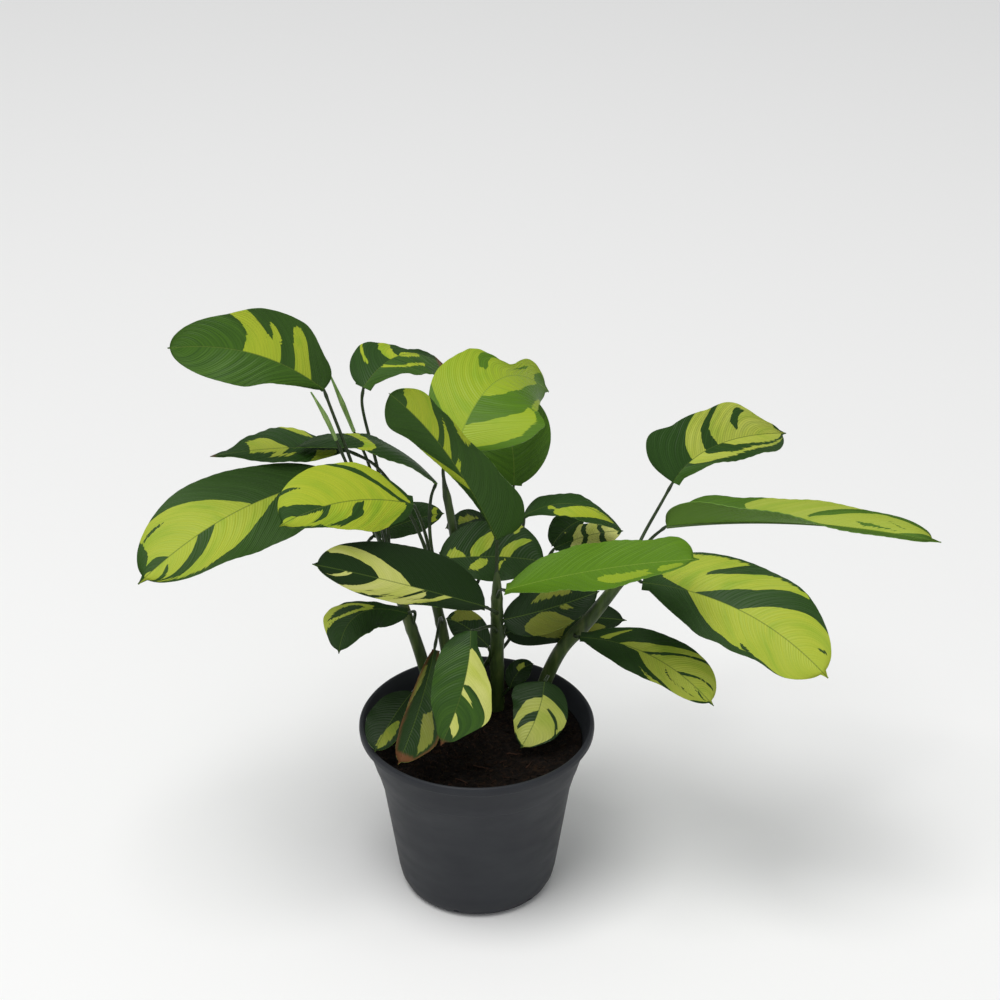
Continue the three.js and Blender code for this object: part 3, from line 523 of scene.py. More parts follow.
LEAVES = {
    1: dict(mid=(-122, -6, 360), tip=(-168, -2, 361), looks=(0, 28), widths=(21, 31), widest=(.6, .38),
        drip=.4, fold=4, curl=10, margin=([.65, .72, .92, .9, .9], [.62, .85, .86, .72, .75]), young=.12,
        yellow=[(0, .095, .215, .5, .095, .205, .75, .075, .16, .86, .09, .13),
            (0, .315, .555, .25, .305, .515, .44, .295, .485), (.42, .28, .33, .74, .272, .298),
            (.38, .34, .49, .5, .362, .473, .75, .362, .443, 1, .32, .4)],
        light=[(-1, -.1, .95, 0, 0, 1), (0, .55, 1, 1, .45, .9)]),
    2: dict(mid=(-44, 84, 313), tip=(-19, 100, 298), looks=(60, 75), widths=(26, 24), widest=(.4, .5),
        blunt=.6, margin=([.8, .8, .5, .15, .2], [.5, .6, .8, 1, 1]), dry=6,
        yellow=[(-1, .18, .26, -.5, .285, .385, 0, .37, .47), (-.2, .5, .66, 0, .47, .72),
            (0, .47, .72, .12, .5, .68), (.02, .23, .275, .5, .235, .28), (.44, .24, .62, .58, .27, .55),
            (-1, .05, .08, -.4, .12, .15)],
        light=[(0, -.2, 1, 1, -.2, 1)]),
    # Leaf 3's high young value darkens its yellow partly as painted shade.
    3: dict(mid=(13, 70, 304), tip=(43, 113, 274), looks=(0, 50), widths=(28, 36), widest=(.35, .45),
        fold=4, margin=([1, 1.08, .98, .4, 1.05], [1.35, 1.2, .83, .75, .7]), young=.75,
        yellow=[(-1, -.3, 1, 0, -.1, 1),
            (0, .04, .11, .25, -.04, .13, .5, -.1, .175, .75, -.1, .26, .86, -.05, .22),
            (0, .31, .87, .1, .33, .87, .25, .37, .8, .35, .42, .68, .42, .48, .58),
            (.86, .22, .6, 1, .2, .55)],
        dark=[(-1, -.1, -.03, -.5, -.05, .02, 0, 0, .05),
            (-.97, .325, .385, -.5, .385, .446, -.38, .43, .465), (-1, .7, .76, -.5, .8, .92, 0, .865, 1),
            (-.62, .6, .7, -.5, .6, .72)],
        light=[LEFT_HALF, (0, .3, 1, 1, .2, 1)]),
    4: dict(mid=(19, 105, 251), tip=(5, 125, 272), looks=(0, 30), widths=(22, 25), blunt=.6, young=.35,
        light=[LEFT_HALF, RIGHT_HALF]),
    5: dict(mid=(-16, -5, 297), tip=(-47, -15, 340), looks=(0, 30), widths=(12, 19), widest=(.8, .25),
        drip=.3, fold=6, young=.1, margin=([1.1, 1.1, 1.1, 1, 1.3], [1.3, 1, .85, 1, 1.5]),
        yellow=[(-1, .12, .37, -.75, .17, .305, -.5, .22, .32, 0, .275, .333),
            (0, .375, .42, .28, .395, .41), (0, .455, .535, .25, .48, .535, .75, .5, .52),
            (0, .583, .86, .5, .577, .835, .75, .577, .775, 1, .55, .69), (.83, .27, .36, 1, .22, .4)]),
    6: dict(mid=(-112, 26, 283), tip=(-151, 18, 282), looks=(-20, 80), widths=(12, 20), widest=(.5, .55),
        blunt=.6, curl=-16, margin=([1, 1, .97, .75, .45], [1, 1.2, 1.3, .9, .4]), cream=.15, dry=3,
        yellow=[(-1, -.15, .03, -.25, .05, .2), (-.3, .43, .68, 0, .43, .72),
            (0, .43, .72, .25, .48, .68, .62, .5, .62), (-.6, .32, .45, -.4, .32, .5),
            (.68, .08, .2, 1, .02, .2)]),
    7: dict(mid=(-61, 32, 285), tip=(-104, 22, 285), looks=(180, 82), widths=(14, 14), blunt=.6, curl=-16,
        margin=([1.2, 1.2, 1.2, 1, 1], [1, 1, 1, 1, 1]), old=.3,
        yellow=[(-1, .29, .35, -.5, .38, .46, 0, .51, .6), (0, .51, .6, .5, .46, .57, 1, .3, .4)]),
    8: dict(mid=(-133, -10, 263), tip=(-186, -55, 242), looks=(-15, 45), widths=(27, 30),
        widest=(.55, .62), fold=4, curl=-10, margin=([1.25, 1.15, 1.02, .93, 1], [.9, .88, .92, 1, .97]),
        cream=.08, young=.08,
        yellow=[(-.9, .54, .72, -.75, .47, .86, -.5, .41, .93, -.25, .365, .97, 0, .31, .98),
            (0, .4375, .97, .25, .467, .93, .5, .4875, .81, .75, .515, .72, 1, .55, .62)],
        dark=[(-.82, .69, .77, -.5, .65, .744, 0, .62, .7),
            (-.97, .73, .755, -.5, .81, .835, -.22, .84, .852),
            (0, .845, .93, .25, .845, .93, .42, .88, .93), (.7, .61, .64, .88, .63, .69)]),
    9: dict(mid=(-72, -35, 283), tip=(-106, -60, 282), looks=(0, 45), widths=(19, 25), widest=(.4, .6),
        curl=-16, margin=([.85, .97, .87, .75, .75], [1.1, 1.12, 1.02, .97, 1]),
        yellow=[LEFT_HALF, RIGHT_HALF],
        dark=[(-.9, .36, .47, -.5, .298, .392, -.25, .34, .423, -.06, .345, .42),
            (-.68, .61, .65, -.5, .575, .64, -.25, .6, .646, 0, .6, .65), (-.14, .64, .8, 0, .65, .86),
            (0, .65, .86, .25, .755, .91, .5, .79, .9, .75, .745, .84, 1, .69, .75),
            (0, .01, .09, .25, .065, .12, .5, .09, .165, .75, .135, .225, 1, .2, .26),
            (0, -.1, .02, .5, -.2, -.04, 1, -.3, -.06), (.62, .6, .61, .85, .59, .635, 1, .585, .62),
            (-1, .42, .8, -.86, .52, .8), (-1, -.3, -.08, -.5, -.1, -.02, 0, -.05, .06)]),
    10: dict(mid=(-39, 50, 221), tip=(-19, 50, 226), looks=(0, 50), widths=(11, 9), blunt=.6, fold=4,
        old=.4,
        yellow=[(-.9, .66, .71, 0, .83, .9), (0, .83, .9, .8, .62, .7)]),
    11: dict(mid=(-45, -40, 234), tip=(-89, -60, 258), looks=(0, 50), widths=(12, 25), widest=(.5, .38),
        fold=2, curl=-8, margin=([.8, .8, .97, 1.1, 1], [1, 1, .95, 1, 1.05]), cream=.9, old=.9,
        yellow=[(-.94, .16, .57, -.85, .133, .59, -.68, .15, .59),
            (-.72, .15, .22, -.5, .16, .2, -.25, .18, .222, 0, .175, .222),
            (-.72, .22, .3, -.4, .262, .312, -.15, .31, .325), (-.72, .3, .6, -.5, .33, .6, 0, .33, .596),
            (-.62, .735, .77, -.4, .755, .79, -.02, .745, .795),
            (0, .408, .59, .25, .435, .6, .5, .4875, .654, .75, .533, .727, .97, .58, .66)],
        dark=[(-.8, .3, .325, -.5, .312, .335, -.12, .318, .338), (-.93, .36, .47, -.82, .37, .4)]),
    12: dict(mid=(-67, -15, 197), tip=(-78, -35, 183), looks=(-30, 50), widths=(12, 16), widest=(.5, .65),
        curl=-10, margin=([1.2, 1.12, 1.12, 1.27, 1.25], [.4, .5, .9, 1.08, .8]), old=.4, cream=.2,
        yellow=[(.06, .32, .42, .25, .28, .56, .45, .22, .61, .7, .25, .62, 1, .3, .58)],
        dark=[(.3, .34, .48, .5, .32, .56, .75, .38, .57)]),
    13: dict(mid=(-7, -45, 168), tip=(-20, -60, 137), looks=(0, 15), widths=(19, 19), widest=(.65, .45),
        fold=4, curl=-8, margin=([.6, .72, .92, 1.07, .75], [1, .97, .95, .97, .75]), cream=.9, dry=3,
        old=.25,
        yellow=[(-.97, .075, .506, -.75, .08, .475, -.5, .1, .458, -.25, .13, .465, 0, .18, .49),
            (-.4, .56, .575, -.1, .527, .575, 0, .51, .57),
            (-.6, .777, .8, -.4, .767, .83, -.25, .767, .85, 0, .725, .84)],
        light=[(0, .15, .95, 1, -.05, .85), (-.95, .5, .76, 0, .5, .8)]),
    14: dict(mid=(-33, -38, 146), tip=(-45, -55, 120), looks=(-20, 15), widths=(18, 7), widest=(.65, .5),
        fold=10, margin=([1, 1, 1, 1, .8], [.9, .95, 1, 1.15, 1.3]), cream=.35, dry=8, brown_edge=1.2,
        old=.7, dull=.75,
        yellow=[(-.8, .46, .68, -.5, .38, .71, -.25, .48, .6), (.45, .05, .2, 1, -.1, .3)],
        light=[(-1, -.2, .38, 0, .1, .35)]),
    15: dict(mid=(-50, -25, 129), tip=(-59, -38, 117), looks=(-20, 50), widths=(12, 14), fold=8, old=.9,
        dull=.6,
        yellow=[(-.62, .5, .75, -.45, .36, .84, -.25, .42, .92, 0, .62, .9), (0, .62, .9, .14, .8, .9)]),
    16: dict(mid=(36, -12, 126), tip=(26, -26, 111), looks=(0, 40), widths=(18, 18), widest=(.5, .35),
        curl=-10, margin=([1, .97, .97, .95, .8], [1.1, 1, .9, .9, .9]), cream=.55, old=.7, dull=.2,
        yellow=[(-.96, .22, .3, -.85, .2, .8, -.5, .2, .88, 0, .21, .965),
            (0, .25, .96, .25, .24, .92, .5, .275, .86, .75, .38, .76, .93, .47, .62)],
        dark=[(-.9, .4, .46, -.6, .36, .415, -.27, .34, .375),
            (0, .455, .61, .25, .48, .63, .5, .527, .66, .78, .6, .66)]),
    17: dict(mid=(25, 29, 128), tip=(34, 35, 130), looks=(0, 40), widths=(7, 7), blunt=.6, fold=8,
        cream=.3, old=.8,
        yellow=[(-.5, .45, .7, 0, .5, .75)]),
    18: dict(mid=(-5, 62, 213), tip=(-19, 68, 205), looks=(0, 50), widths=(8, 8), blunt=.6, fold=4, old=.9,
        dull=.6,
        yellow=[(-.12, .6, .7, 0, .52, .71), (0, .52, .71, .25, .38, .68, .5, .2, .6)]),
    19: dict(mid=(10, 24, 212), tip=(41, 26, 207), looks=(0, 45), widths=(22, 15), fold=4,
        margin=([1, 1, .95, 1.08, 1.1], [1, 1, 1, 1, 1]), cream=.1, old=.5, dull=.12,
        yellow=[(-.74, .33, .36, -.5, .28, .415, -.25, .258, .435, 0, .28, .36),
            (-.74, .66, .69, -.5, .61, .7, -.25, .56, .675, 0, .55, .655),
            (-.38, .03, .08, -.15, .05, .2, 0, .1, .24), (-1, .44, .5, -.7, .5, .56),
            (.08, .36, .44, .3, .25, .4, .58, .14, .24), (.12, .56, .6, .6, .4, .43)]),
    20: dict(mid=(57, 40, 238), tip=(85, 45, 218), looks=(0, 75), widths=(11, 10), blunt=.6, curl=-10,
        margin=([1.3, .97, .83, .87, .5], [.75, .95, 1.1, 1.2, 1.2]),
        yellow=[(-.24, .68, .85, 0, .6, .92),
            (0, .6, .92, .25, .4, .88, .5, .2, .7, .75, .1, .42, 1, .06, .2),
            (.02, .24, .275, .4, .16, .26)]),
    21: dict(mid=(53, 70, 203), tip=(45, 72, 190), looks=(10, 50), widths=(10, 10), blunt=.6, fold=4,
        cream=.3, old=.6,
        yellow=[(-.6, .4, .45, -.1, .5, .55)]),
    22: dict(mid=(67, 50, 211), tip=(87, 55, 211), looks=(10, 60), widths=(8, 10), blunt=.6, fold=4,
        cream=1, old=.3,
        yellow=[(-.95, .15, .6, 0, .27, .93), (0, .27, .93, .95, -.05, .7)],
        dark=[(-1, .2, .27, 0, .42, .49), (0, .42, .49, .8, .15, .24), (-.8, .46, .53, 0, .66, .73),
            (0, .66, .73, 1, .38, .48)]),
    23: dict(mid=(70, -25, 233), tip=(124, -45, 252), looks=(10, 80), widths=(27, 22), widest=(.6, .5),
        curl=10, margin=([1.4, 1.15, .83, .8, 1.1], [.55, .7, .93, 1, .9]), young=1,
        yellow=[(.34, .46, .72, .5, .42, .67, .78, .43, .64), (.28, .78, .88, .5, .72, .84, .8, .66, .76)],
        light=[LEFT_HALF, RIGHT_HALF]),
    24: dict(mid=(152, -25, 205), tip=(198, -60, 183), looks=(10, 45), widths=(33, 22), widest=(.5, .65),
        curl=-12, margin=([1, .92, .93, 1.03, 1], [1.55, 1.42, 1.12, .93, 1.15]), cream=.08,
        yellow=[LEFT_HALF, (0, .215, 1, .5, .227, 1, .75, .258, .9, .85, .34, .85, 1, .6, .8)],
        dark=[(-1, .19, .3, -.75, .19, .28, -.6, .175, .24, -.47, .175, .19),
            (-1, .467, .6, -.75, .425, .59, -.5, .408, .57, -.25, .34, .525, 0, .248, .477),
            (-.45, -.2, 0, -.25, -.1, .06, -.1, -.1, .14, 0, -.1, .22), (.7, .41, .425, .88, .39, .45),
            (-1, -.3, .46, -.94, -.2, .4), (-.7, .76, .772, -.44, .8, .815)]),
    25: dict(mid=(102, -10, 165), tip=(137, -35, 147), looks=(10, 50), widths=(17, 13), widest=(.65, .62),
        curl=-10, margin=([1.2, 1.05, 1.03, 1.05, 1.2], [1.4, 1.3, 1.12, .95, 1]), cream=.2, old=.3,
        dull=.1,
        yellow=[(-.94, .47, .78, -.75, .45, .82, -.5, .41, .9, -.25, .3, .96, 0, .26, .98),
            (-.85, .08, .11, -.5, .09, .15, -.12, .11, .18),
            (0, .3, .97, .08, .4, .96, .5, .415, .87, .75, .46, .76, .97, .5, .62),
            (.7, .32, .36, .95, .33, .42)],
        dark=[(-1, .52, .56, -.75, .535, .57, -.5, .525, .556, -.25, .494, .535, 0, .43, .48),
            (-.8, .77, .79, -.5, .775, .805, -.25, .74, .775, 0, .69, .73), (.16, .585, .6, .5, .582, .605),
            (.48, .585, .7, .6, .62, .78), (.1, .83, .88, .38, .86, .9)]),
    26: dict(mid=(142, 75, 258), tip=(187, 112, 246), looks=(0, 50), widths=(24, 24), widest=(.35, .6),
        fold=22, margin=([1.4, .98, .97, 1.2, .75], [.6, .6, .7, .75, .95]), cream=.3,
        yellow=[(-1, .183, .3, -.5, .208, .335, 0, .2625, .402), (-1, .345, 1, -.5, .4, 1, 0, .515, 1),
            (0, .22, .38, .25, .2, .36, .5, .18, .44, .74, .17, .4),
            (0, .55, 1, .25, .57, .95, .45, .72, .86), (.57, .2, .8, .7, .18, .82)],
        dark=[(-.88, .5, .55, -.5, .558, .61, -.27, .635, .652), (-1, .66, .76, -.6, .82, .9)],
        light=[(0, -.2, .18, 1, -.3, .12)]),
    27: dict(mid=(185, 8, 244), tip=(263, -15, 245), looks=(0, 90), widths=(20, 20), widest=(.55, .35),
        blunt=.45, fold=(26, 24, 78, 0), margin=([1.6, .98, .83, .77, .9], [1.15, 1, 1, .95, .7]),
        young=.5, cream=.2,
        yellow=[(-.94, .12, .5, -.75, .13, .82, -.5, .215, .86, -.25, .4, .87, 0, .6, .84)],
        dark=[(-1, .46, .56, -.75, .465, .535, -.5, .465, .53, -.33, .47, .5),
            (-.6, .69, .7, -.4, .79, .812), (-.34, .64, .7, -.18, .7, .84)],
        light=[(-1, -.3, .4, 0, -.3, 1), RIGHT_HALF]),
    28: dict(mid=(44, 14, 183), tip=(72, 18, 192), looks=(0, 40), widths=(15, 14), widest=(.5, .4), fold=4,
        old=1, dull=.75,
        yellow=[(-.8, .33, .4, -.6, .265, .6, -.4, .233, .68), (.02, .56, .65, .35, .58, .66),
            (.08, .35, .46, .25, .233, .494, .5, .108, .494, .75, .025, .473, 1, 0, .42)]),
    29: dict(mid=(51, 38, 160), tip=(90, 44, 155), looks=(0, 40), widths=(13, 14), widest=(.5, .4), fold=4,
        old=1, dull=.8,
        yellow=[(-.42, .32, .42, -.25, .246, .517, 0, .14, .6),
            (0, .14, .6, .25, .12, .54, .5, .14, .41, .8, .19, .3), (-.64, .38, .45, -.4, .42, .5),
            (.38, .66, .73, .6, .52, .725, .8, .5, .66)]),
    30: dict(mid=(-6, 9, 173), tip=(-18, 10, 178), looks=(0, 30), widths=(9, 10), blunt=.6, fold=4, old=.9,
        dull=.8,
        yellow=[(0, .72, .86, .3, .55, .84, .5, .4, .76, .75, .25, .66, 1, .1, .6)]),
}
OUTSIDE = -9.0
MARGIN_START, FINGER_SLOPE = 0.93, 0.45


def band_reach(bands, half, s, v, length, width):
    """How far inside the nearest band of one half a place is, in mm, and below 0 outside them."""
    best = OUTSIDE
    for band in bands:
        stations = [band[k:k + 3] for k in range(0, len(band), 3)]
        first, last = stations[0][0], stations[-1][0]
        if (first + last) * half < 0:
            continue
        at = min(max(v, first), last)
        for (v0, from0, to0), (v1, from1, to1) in zip(stations, stations[1:]):
            if at <= v1:
                break
        t = (at - v0) / (v1 - v0)
        inside = min(s - (from0 + (from1 - from0) * t), to0 + (to1 - to0) * t - s) * length
        inner, outer = (last, first) if half < 0 else (first, last)
        if inner != 0:
            inside = min(inside, (v - inner) * half * width * FINGER_SLOPE)
        if abs(outer) < MARGIN_START:
            inside = min(inside, (outer - v) * half * width * FINGER_SLOPE)
        best = max(best, inside)
    return best


SPOTS = ("yellow", "light")
# Of these traits, dull and the value that deepens the green are painted shade on the lower leaves.
TRAITS = ("cream", "young", "old", "dull", "dry", "brown")
variegation, given, result = new_group(
    "variegation", [(label.capitalize(), "Float") for label in SPOTS + TRAITS] + [("Vein", "Vector")],
    [("Colour", "Color"), ("Roughness", "Float"), ("Height", "Float")])


def feed(socket, value):
    """Gives a socket of the variegation group a number, a colour or another node's output."""
    if isinstance(value, (int, float)):
        socket.default_value = value
    elif isinstance(value, tuple):
        socket.default_value = (*value, 1)
    else:
        variegation.links.new(value, socket)


def maths(kind, *values):
    node = variegation.nodes.new("ShaderNodeMath")
    node.operation = kind
    for socket, value in zip(node.inputs, values):
        feed(socket, value)
    return node.outputs["Value"]


def colour_mix(nodes):
    """The share, first, second and resulting socket of a new node that mixes two colours."""
    node = nodes.new("ShaderNodeMix")
    node.data_type = "RGBA"
    first, second = (socket for socket in node.inputs if socket.type == "RGBA")
    return node.inputs[0], first, second, next(s for s in node.outputs if s.type == "RGBA")


def mixed(share, first, second):
    """A colour that goes from first to second as share goes from 0 to 1."""
    *sockets, mix = colour_mix(variegation.nodes)
    for socket, value in zip(sockets, (share, first, second)):
        feed(socket, value)
    return mix


def vein_noise(across, along, detail):
    """Noise that is long along the veins: across and along are waves in 100 mm."""
    turn = variegation.nodes.new("ShaderNodeMapping")
    turn.inputs["Scale"].default_value = (across, along, 1)
    streaks = variegation.nodes.new("ShaderNodeTexNoise")
    streaks.inputs["Scale"].default_value = 1
    streaks.inputs["Detail"].default_value = detail
    feed(turn.inputs["Vector"], given["Vein"])
    feed(streaks.inputs["Vector"], turn.outputs["Vector"])
    return streaks.outputs["Fac"]


def soft_step(value, low, high):
    node = variegation.nodes.new("ShaderNodeMapRange")
    node.interpolation_type = "SMOOTHSTEP"
    feed(node.inputs["From Min"], low)
    feed(node.inputs["From Max"], high)
    feed(node.inputs["Value"], value)
    return node.outputs["Result"]


DEEP_GREEN, DARK_GREEN, MID_GREEN = (0.006, 0.019, 0.003), (0.023, 0.068, 0.008), (0.050, 0.124, 0.010)
YOUNG_GREEN, YOUNG_DARK = (0.108, 0.232, 0.008), (0.084, 0.190, 0.007)
YELLOW, YELLOW_GREEN, CREAM = (0.40, 0.46, 0.028), (0.25, 0.38, 0.018), (0.68, 0.66, 0.28)
RIB_GREEN, RIB_PALE = (0.075, 0.125, 0.018), (0.26, 0.40, 0.05)
# The olive is painted shade: the yellow bands of the lower, shaded leaves mix towards it by their dull
# value.
UNDER_GREEN, SHADE_OLIVE, DRY_BROWN = (0.15, 0.29, 0.04), (0.105, 0.110, 0.022), (0.13, 0.052, 0.018)
VEIN_SPACING, RIB_WIDTH = 1.9, 0.35
RAGGED_EDGE, STREAKED_EDGE, DRY_RAGGED = 2.8, 5, 3
ragged = vein_noise(across=60, along=6, detail=4)
stripes = vein_noise(across=38, along=3, detail=3)
patches = vein_noise(across=7, along=5, detail=2)
yellow_edge = maths("MULTIPLY_ADD", ragged, RAGGED_EDGE, -RAGGED_EDGE / 2)
is_yellow = soft_step(maths("ADD", given["Yellow"], yellow_edge), -0.2, 0.2)
light_edge = maths("ADD", given["Light"], -STREAKED_EDGE / 2)
light_edge = maths("MULTIPLY_ADD", stripes, STREAKED_EDGE, light_edge)
is_light = soft_step(light_edge, -STREAKED_EDGE / 2, STREAKED_EDGE / 2)
is_striped = soft_step(stripes, 0.2, 0.8)
green = mixed(is_striped, mixed(0.35, DARK_GREEN, DEEP_GREEN), DARK_GREEN)
green = mixed(is_light, green, mixed(is_striped, DARK_GREEN, MID_GREEN))
green = mixed(given["Young"], green, mixed(is_striped, YOUNG_DARK, YOUNG_GREEN))
# Painted shade: the lower leaves' green deepens towards DEEP_GREEN, along with the darker green of older
# leaves.
green = mixed(maths("MULTIPLY", given["Old"], 0.9), green, DEEP_GREEN)
pale = mixed(maths("MULTIPLY", is_striped, 0.55), YELLOW, YELLOW_GREEN)
pale = mixed(soft_step(patches, 0.5, 0.75), pale, YELLOW_GREEN)
# Young leaves' yellow is greener and darker; on leaf 3, which gets little light from overhead, this is
# partly painted shade.
pale = mixed(maths("MULTIPLY", given["Young"], 0.75), pale, YELLOW_GREEN)
pale = mixed(given["Cream"], pale, mixed(patches, CREAM, YELLOW))
# Painted shade: dull mixes the lower leaves' yellow towards olive.
pale = mixed(given["Dull"], pale, SHADE_OLIVE)
blade_colour = mixed(is_yellow, green, pale)
vein_place = variegation.nodes.new("ShaderNodeSeparateXYZ")
feed(vein_place.inputs["Vector"], given["Vein"])
from_rib = maths("MULTIPLY", maths("ABSOLUTE", vein_place.outputs["Y"]), 100)
on_rib = soft_step(from_rib, RIB_WIDTH, RIB_WIDTH / 2)
rib_waves = 2 * pi * 100 / VEIN_SPACING
rib_shift = maths("MULTIPLY", ragged, 1.5)
ribs = maths("SINE", maths("MULTIPLY_ADD", vein_place.outputs["X"], rib_waves, rib_shift))
blade_colour = mixed(maths("MULTIPLY", soft_step(ribs, 0.55, 1.0), 0.09), blade_colour, MID_GREEN)
rib_colour = mixed(given["Young"], RIB_GREEN, RIB_PALE)
blade_colour = mixed(maths("MULTIPLY", on_rib, 0.6), blade_colour, rib_colour)
dry_edge = maths("MAXIMUM", given["Dry"], given["Brown"])
dry_edge = maths("MULTIPLY_ADD", ragged, DRY_RAGGED, maths("ADD", dry_edge, -DRY_RAGGED / 2))
is_dry = soft_step(dry_edge, -1.2, 1.8)
blade_colour = mixed(is_dry, blade_colour, DRY_BROWN)
height = maths("MULTIPLY_ADD", ribs, 0.5, maths("MULTIPLY", stripes, 0.9))
height = maths("MULTIPLY_ADD", on_rib, -1.2, height)
feed(result["Colour"], blade_colour)
feed(result["Roughness"], maths("MULTIPLY_ADD", patches, 0.16, 0.36))
feed(result["Height"], height)


def blade_material(name, paler, distance, specular):
    """The blade's finish on one of its faces; paler mixes in a dull pale green."""
    material = new_material(name, specular=specular)
    nodes, links = material.node_tree.nodes, material.node_tree.links
    marks = nodes.new("ShaderNodeGroup")
    marks.node_tree = variegation
    for label in SPOTS + TRAITS:
        value = nodes.new("ShaderNodeAttribute")
        value.attribute_name = label
        links.new(value.outputs["Fac"], marks.inputs[label.capitalize()])
    veins = nodes.new("ShaderNodeUVMap")
    veins.uv_map = "vein"
    links.new(veins.outputs["UV"], marks.inputs["Vein"])
    shader = nodes["Principled BSDF"]
    share, marked, dull, mix = colour_mix(nodes)
    share.default_value = paler
    dull.default_value = (*UNDER_GREEN, 1)
    links.new(marks.outputs["Colour"], marked)
    links.new(mix, shader.inputs["Base Color"])
    links.new(marks.outputs["Roughness"], shader.inputs["Roughness"])
    bump(material, marks.outputs["Height"], distance)
    return material


leaf_upper = blade_material("leaf_upper", paler=0, distance=0.12 * MM, specular=0.19)
leaf_under = blade_material("leaf_under", paler=0.5, distance=0.2 * MM, specular=0.2)
rib_skin = new_material("rib_skin", roughness=0.5, specular=0.3)
tint(rib_skin, grain(rib_skin, scale=200, detail=3), (0.3, (0.04, 0.085, 0.015)),
     (0.7, (0.085, 0.15, 0.03)))


def midrib(leaf, u):
    """The midrib's point at u, which goes from 0 at the petiole to 1 at the tip."""
    base, middle, tip = (Vector(leaf[place]) for place in ("base", "mid", "tip"))
    control = 2 * middle - (base + tip) / 2
    return (1 - u) ** 2 * base + 2 * u * (1 - u) * control + u * u * tip


def margin_share(shares, u):
    """How much a half's margin widens its outline at u, smoothly from station to station."""
    if u <= MARGIN_STATIONS[0]:
        return shares[0]
    for k, (start, end) in enumerate(zip(MARGIN_STATIONS, MARGIN_STATIONS[1:])):
        if u < end:
            t = (u - start) / (end - start)
            return shares[k] + (shares[k + 1] - shares[k]) * t * t * (3 - 2 * t)
    return shares[-1]


def half_outline(leaf, half, u):
    """The share of its full width that a half of the blade has at u."""
    power = log(0.5) / log(leaf["widest"][half])
    end = 1 - (1 - OUTLINE_END) * leaf["drip"]
    body = max(0, sin(pi * min(u / end, 1) ** power)) ** leaf["blunt"]
    body *= margin_share(leaf["margin"][half], u)
    drip = leaf["drip"] * DRIP_WIDTH * min(1, (1 - u) / DRIP_LENGTH)
    return max(body, drip, NECK_WIDTH * (1 - u / NECK_LENGTH), LEAST_WIDTH)


def blade_frame(leaf, u):
    """The midrib's point at u, and the directions to the right half and out of the face."""
    azimuth, elevation = map(radians, leaf["looks"])
    looks = Vector((sin(azimuth) * cos(elevation), -cos(azimuth) * cos(elevation), sin(elevation)))
    along = (midrib(leaf, u + 0.001) - midrib(leaf, u - 0.001)).normalized()
    side = along.cross(looks).normalized()
    return midrib(leaf, u), side, side.cross(along)


def even_steps(size, spacing, least, most):
    """An even number of steps of about the given spacing."""
    return 2 * round(min(most, max(least, size / spacing)) / 2)


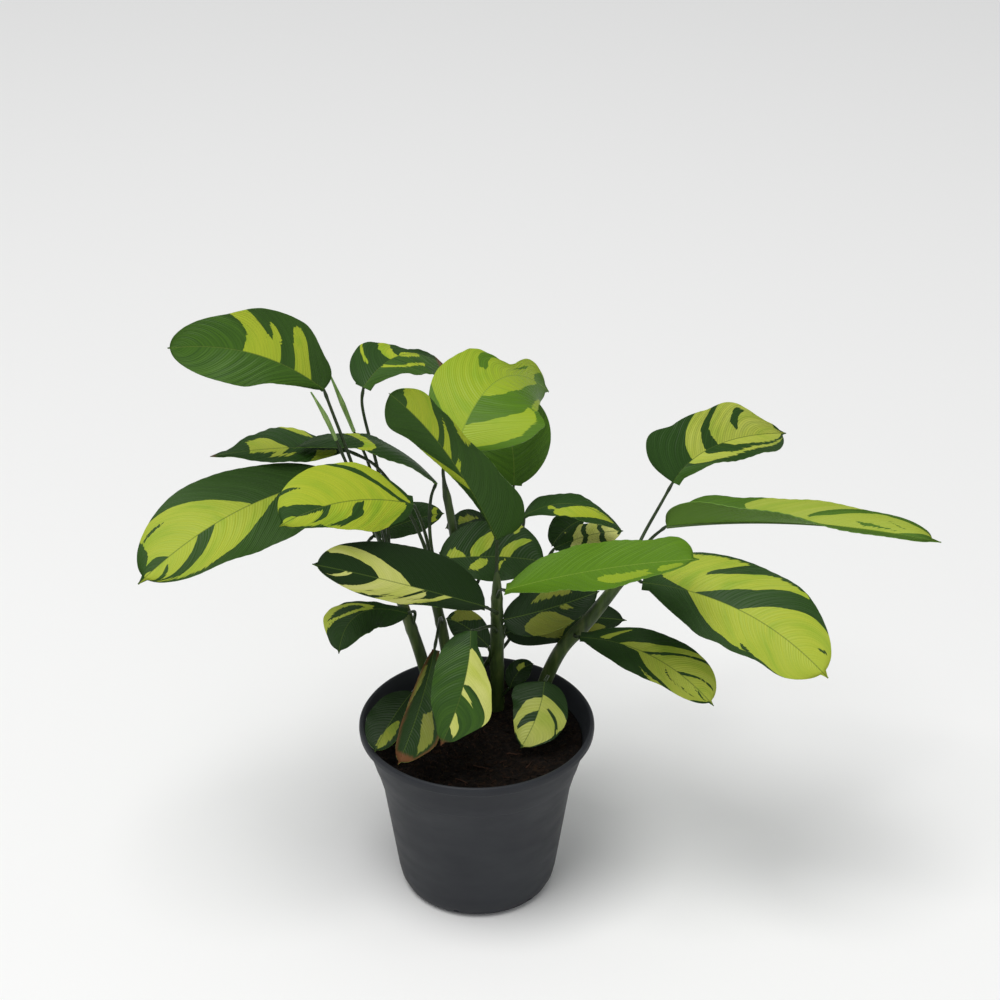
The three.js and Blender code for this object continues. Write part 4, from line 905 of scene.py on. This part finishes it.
def leaf_blade(number):
    """One blade: a grid bent to the leaf's shape, then given its thickness, with its rib below."""
    leaf = {**PLAIN_LEAF, **LEAVES[number], "base": leaf_feet[number]}
    widths, fold = leaf["widths"], leaf["fold"]
    folds = fold if isinstance(fold, tuple) else (fold,) * 4
    length = sum((midrib(leaf, k / 20) - midrib(leaf, (k + 1) / 20)).length for k in range(20))
    body = bmesh.new()
    bmesh.ops.create_grid(body, x_segments=even_steps(length, spacing=1.05, least=40, most=120),
                          y_segments=even_steps(sum(widths), spacing=1.2, least=20, most=48), size=0.5)
    layers = {label: body.verts.layers.float.new(label) for label in TRAITS}
    spots = {label: body.loops.layers.float.new(label) for label in SPOTS}
    vein_map = body.loops.layers.uv.new("vein")
    frames, places = {}, {}
    for vert in body.verts:
        x = vert.co.x + 0.5
        u = min(1, max(0, 0.5 * x + 0.25 * (1 - cos(pi * x))))
        v = round(min(1, max(-1, -2 * vert.co.y)), 5)
        if round(u, 6) not in frames:
            reaches = [w * half_outline(leaf, half, u) for half, w in enumerate(widths)]
            frames[round(u, 6)] = (*blade_frame(leaf, u), reaches)
        centre, side, face, reaches = frames[round(u, 6)]
        half, hand = (0, -1) if v < 0 else (1, 1)
        reach = reaches[half] * abs(v)
        lift = folds[2 * half] + (folds[2 * half + 1] - folds[2 * half]) * u
        bend = radians(lift + leaf["curl"] * abs(v) / 2)
        s = u - VEIN_LEAN * abs(v) - VEIN_CURVE * v * v
        ends = sin(pi * u)
        pleat = PLEAT_HEIGHT * sin(2 * pi * s * length / PLEAT_SPACING)
        pleat *= min(1, reach / PLEAT_START) * ends
        wave = WAVE_HEIGHT * sin(2 * pi * (WAVE_COUNT * u + WAVE_SHIFT * number) + hand)
        wave *= abs(v) ** 3 * ends
        out = face * cos(bend) - side * hand * sin(bend)
        vert.co = (centre + side * hand * reach * cos(bend) + face * reach * sin(bend)
                   + out * (pleat + wave)) * MM
        # The traits go onto every vertex; the deeper green and the dull olive of the lower leaves are
        # painted shade.
        for label in TRAITS[:4]:
            vert[layers[label]] = leaf[label]
        vert[layers["dry"]] = leaf["dry"] - (1 - u) * length if leaf["dry"] else OUTSIDE
        from_margin = reaches[half] * (1 - abs(v))
        vert[layers["brown"]] = leaf["brown_edge"] - from_margin if leaf["brown_edge"] else OUTSIDE
        places[vert] = (u, v, s, reach)
    seen = {}
    for corner_face in body.faces:
        hand = 1 if sum(places[vert][1] for vert in corner_face.verts) > 0 else -1
        for loop in corner_face.loops:
            key = (loop.vert, hand)
            if key not in seen:
                u, v, s, reach = places[loop.vert]
                width = widths[0 if hand < 0 else 1]
                yellow, dark, light = (band_reach(leaf[mark], hand, s, v, length, width)
                                       for mark in ("yellow", "dark", "light"))
                seen[key] = min(yellow, -dark), light, Vector((s * length, hand * reach)) / 100
            loop[spots["yellow"]], loop[spots["light"]], loop[vein_map].uv = seen[key]
    piece = new_piece(f"leaf_{number:02d}_blade", body, leaf_upper, leaf_under, rib_skin)
    thick = piece.modifiers.new("thickness", "SOLIDIFY")
    thick.thickness, thick.offset = BLADE_THICKNESS * MM, 0
    thick.material_offset = thick.material_offset_rim = 1
    piece = settle(piece, sharp=50)
    rib = strands("rib", 2, leaf_upper, leaf_under, rib_skin)
    line = []
    for k in range(RIB_STEPS + 1):
        u = RIB_END * k / RIB_STEPS
        centre, _, face = blade_frame(leaf, u)
        radius = RIB_RADIUS * (1 - u) ** 0.8 + RIB_LEAST
        line.append((*(centre - face * max(0, radius - RIB_SINK)), radius))
    add_strand(rib, line, material=2)
    rib = settle(rib, sharp=60)
    joined = bmesh.new()
    joined.from_mesh(piece.data)
    joined.from_mesh(rib.data)
    joined.to_mesh(piece.data)
    joined.free()
    bpy.data.objects.remove(rib)
    return piece


for number in LEAVES:
    leaf = leaf_blade(number)
    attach(leaf, "root")
    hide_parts(f"leaf_{number:02d}")
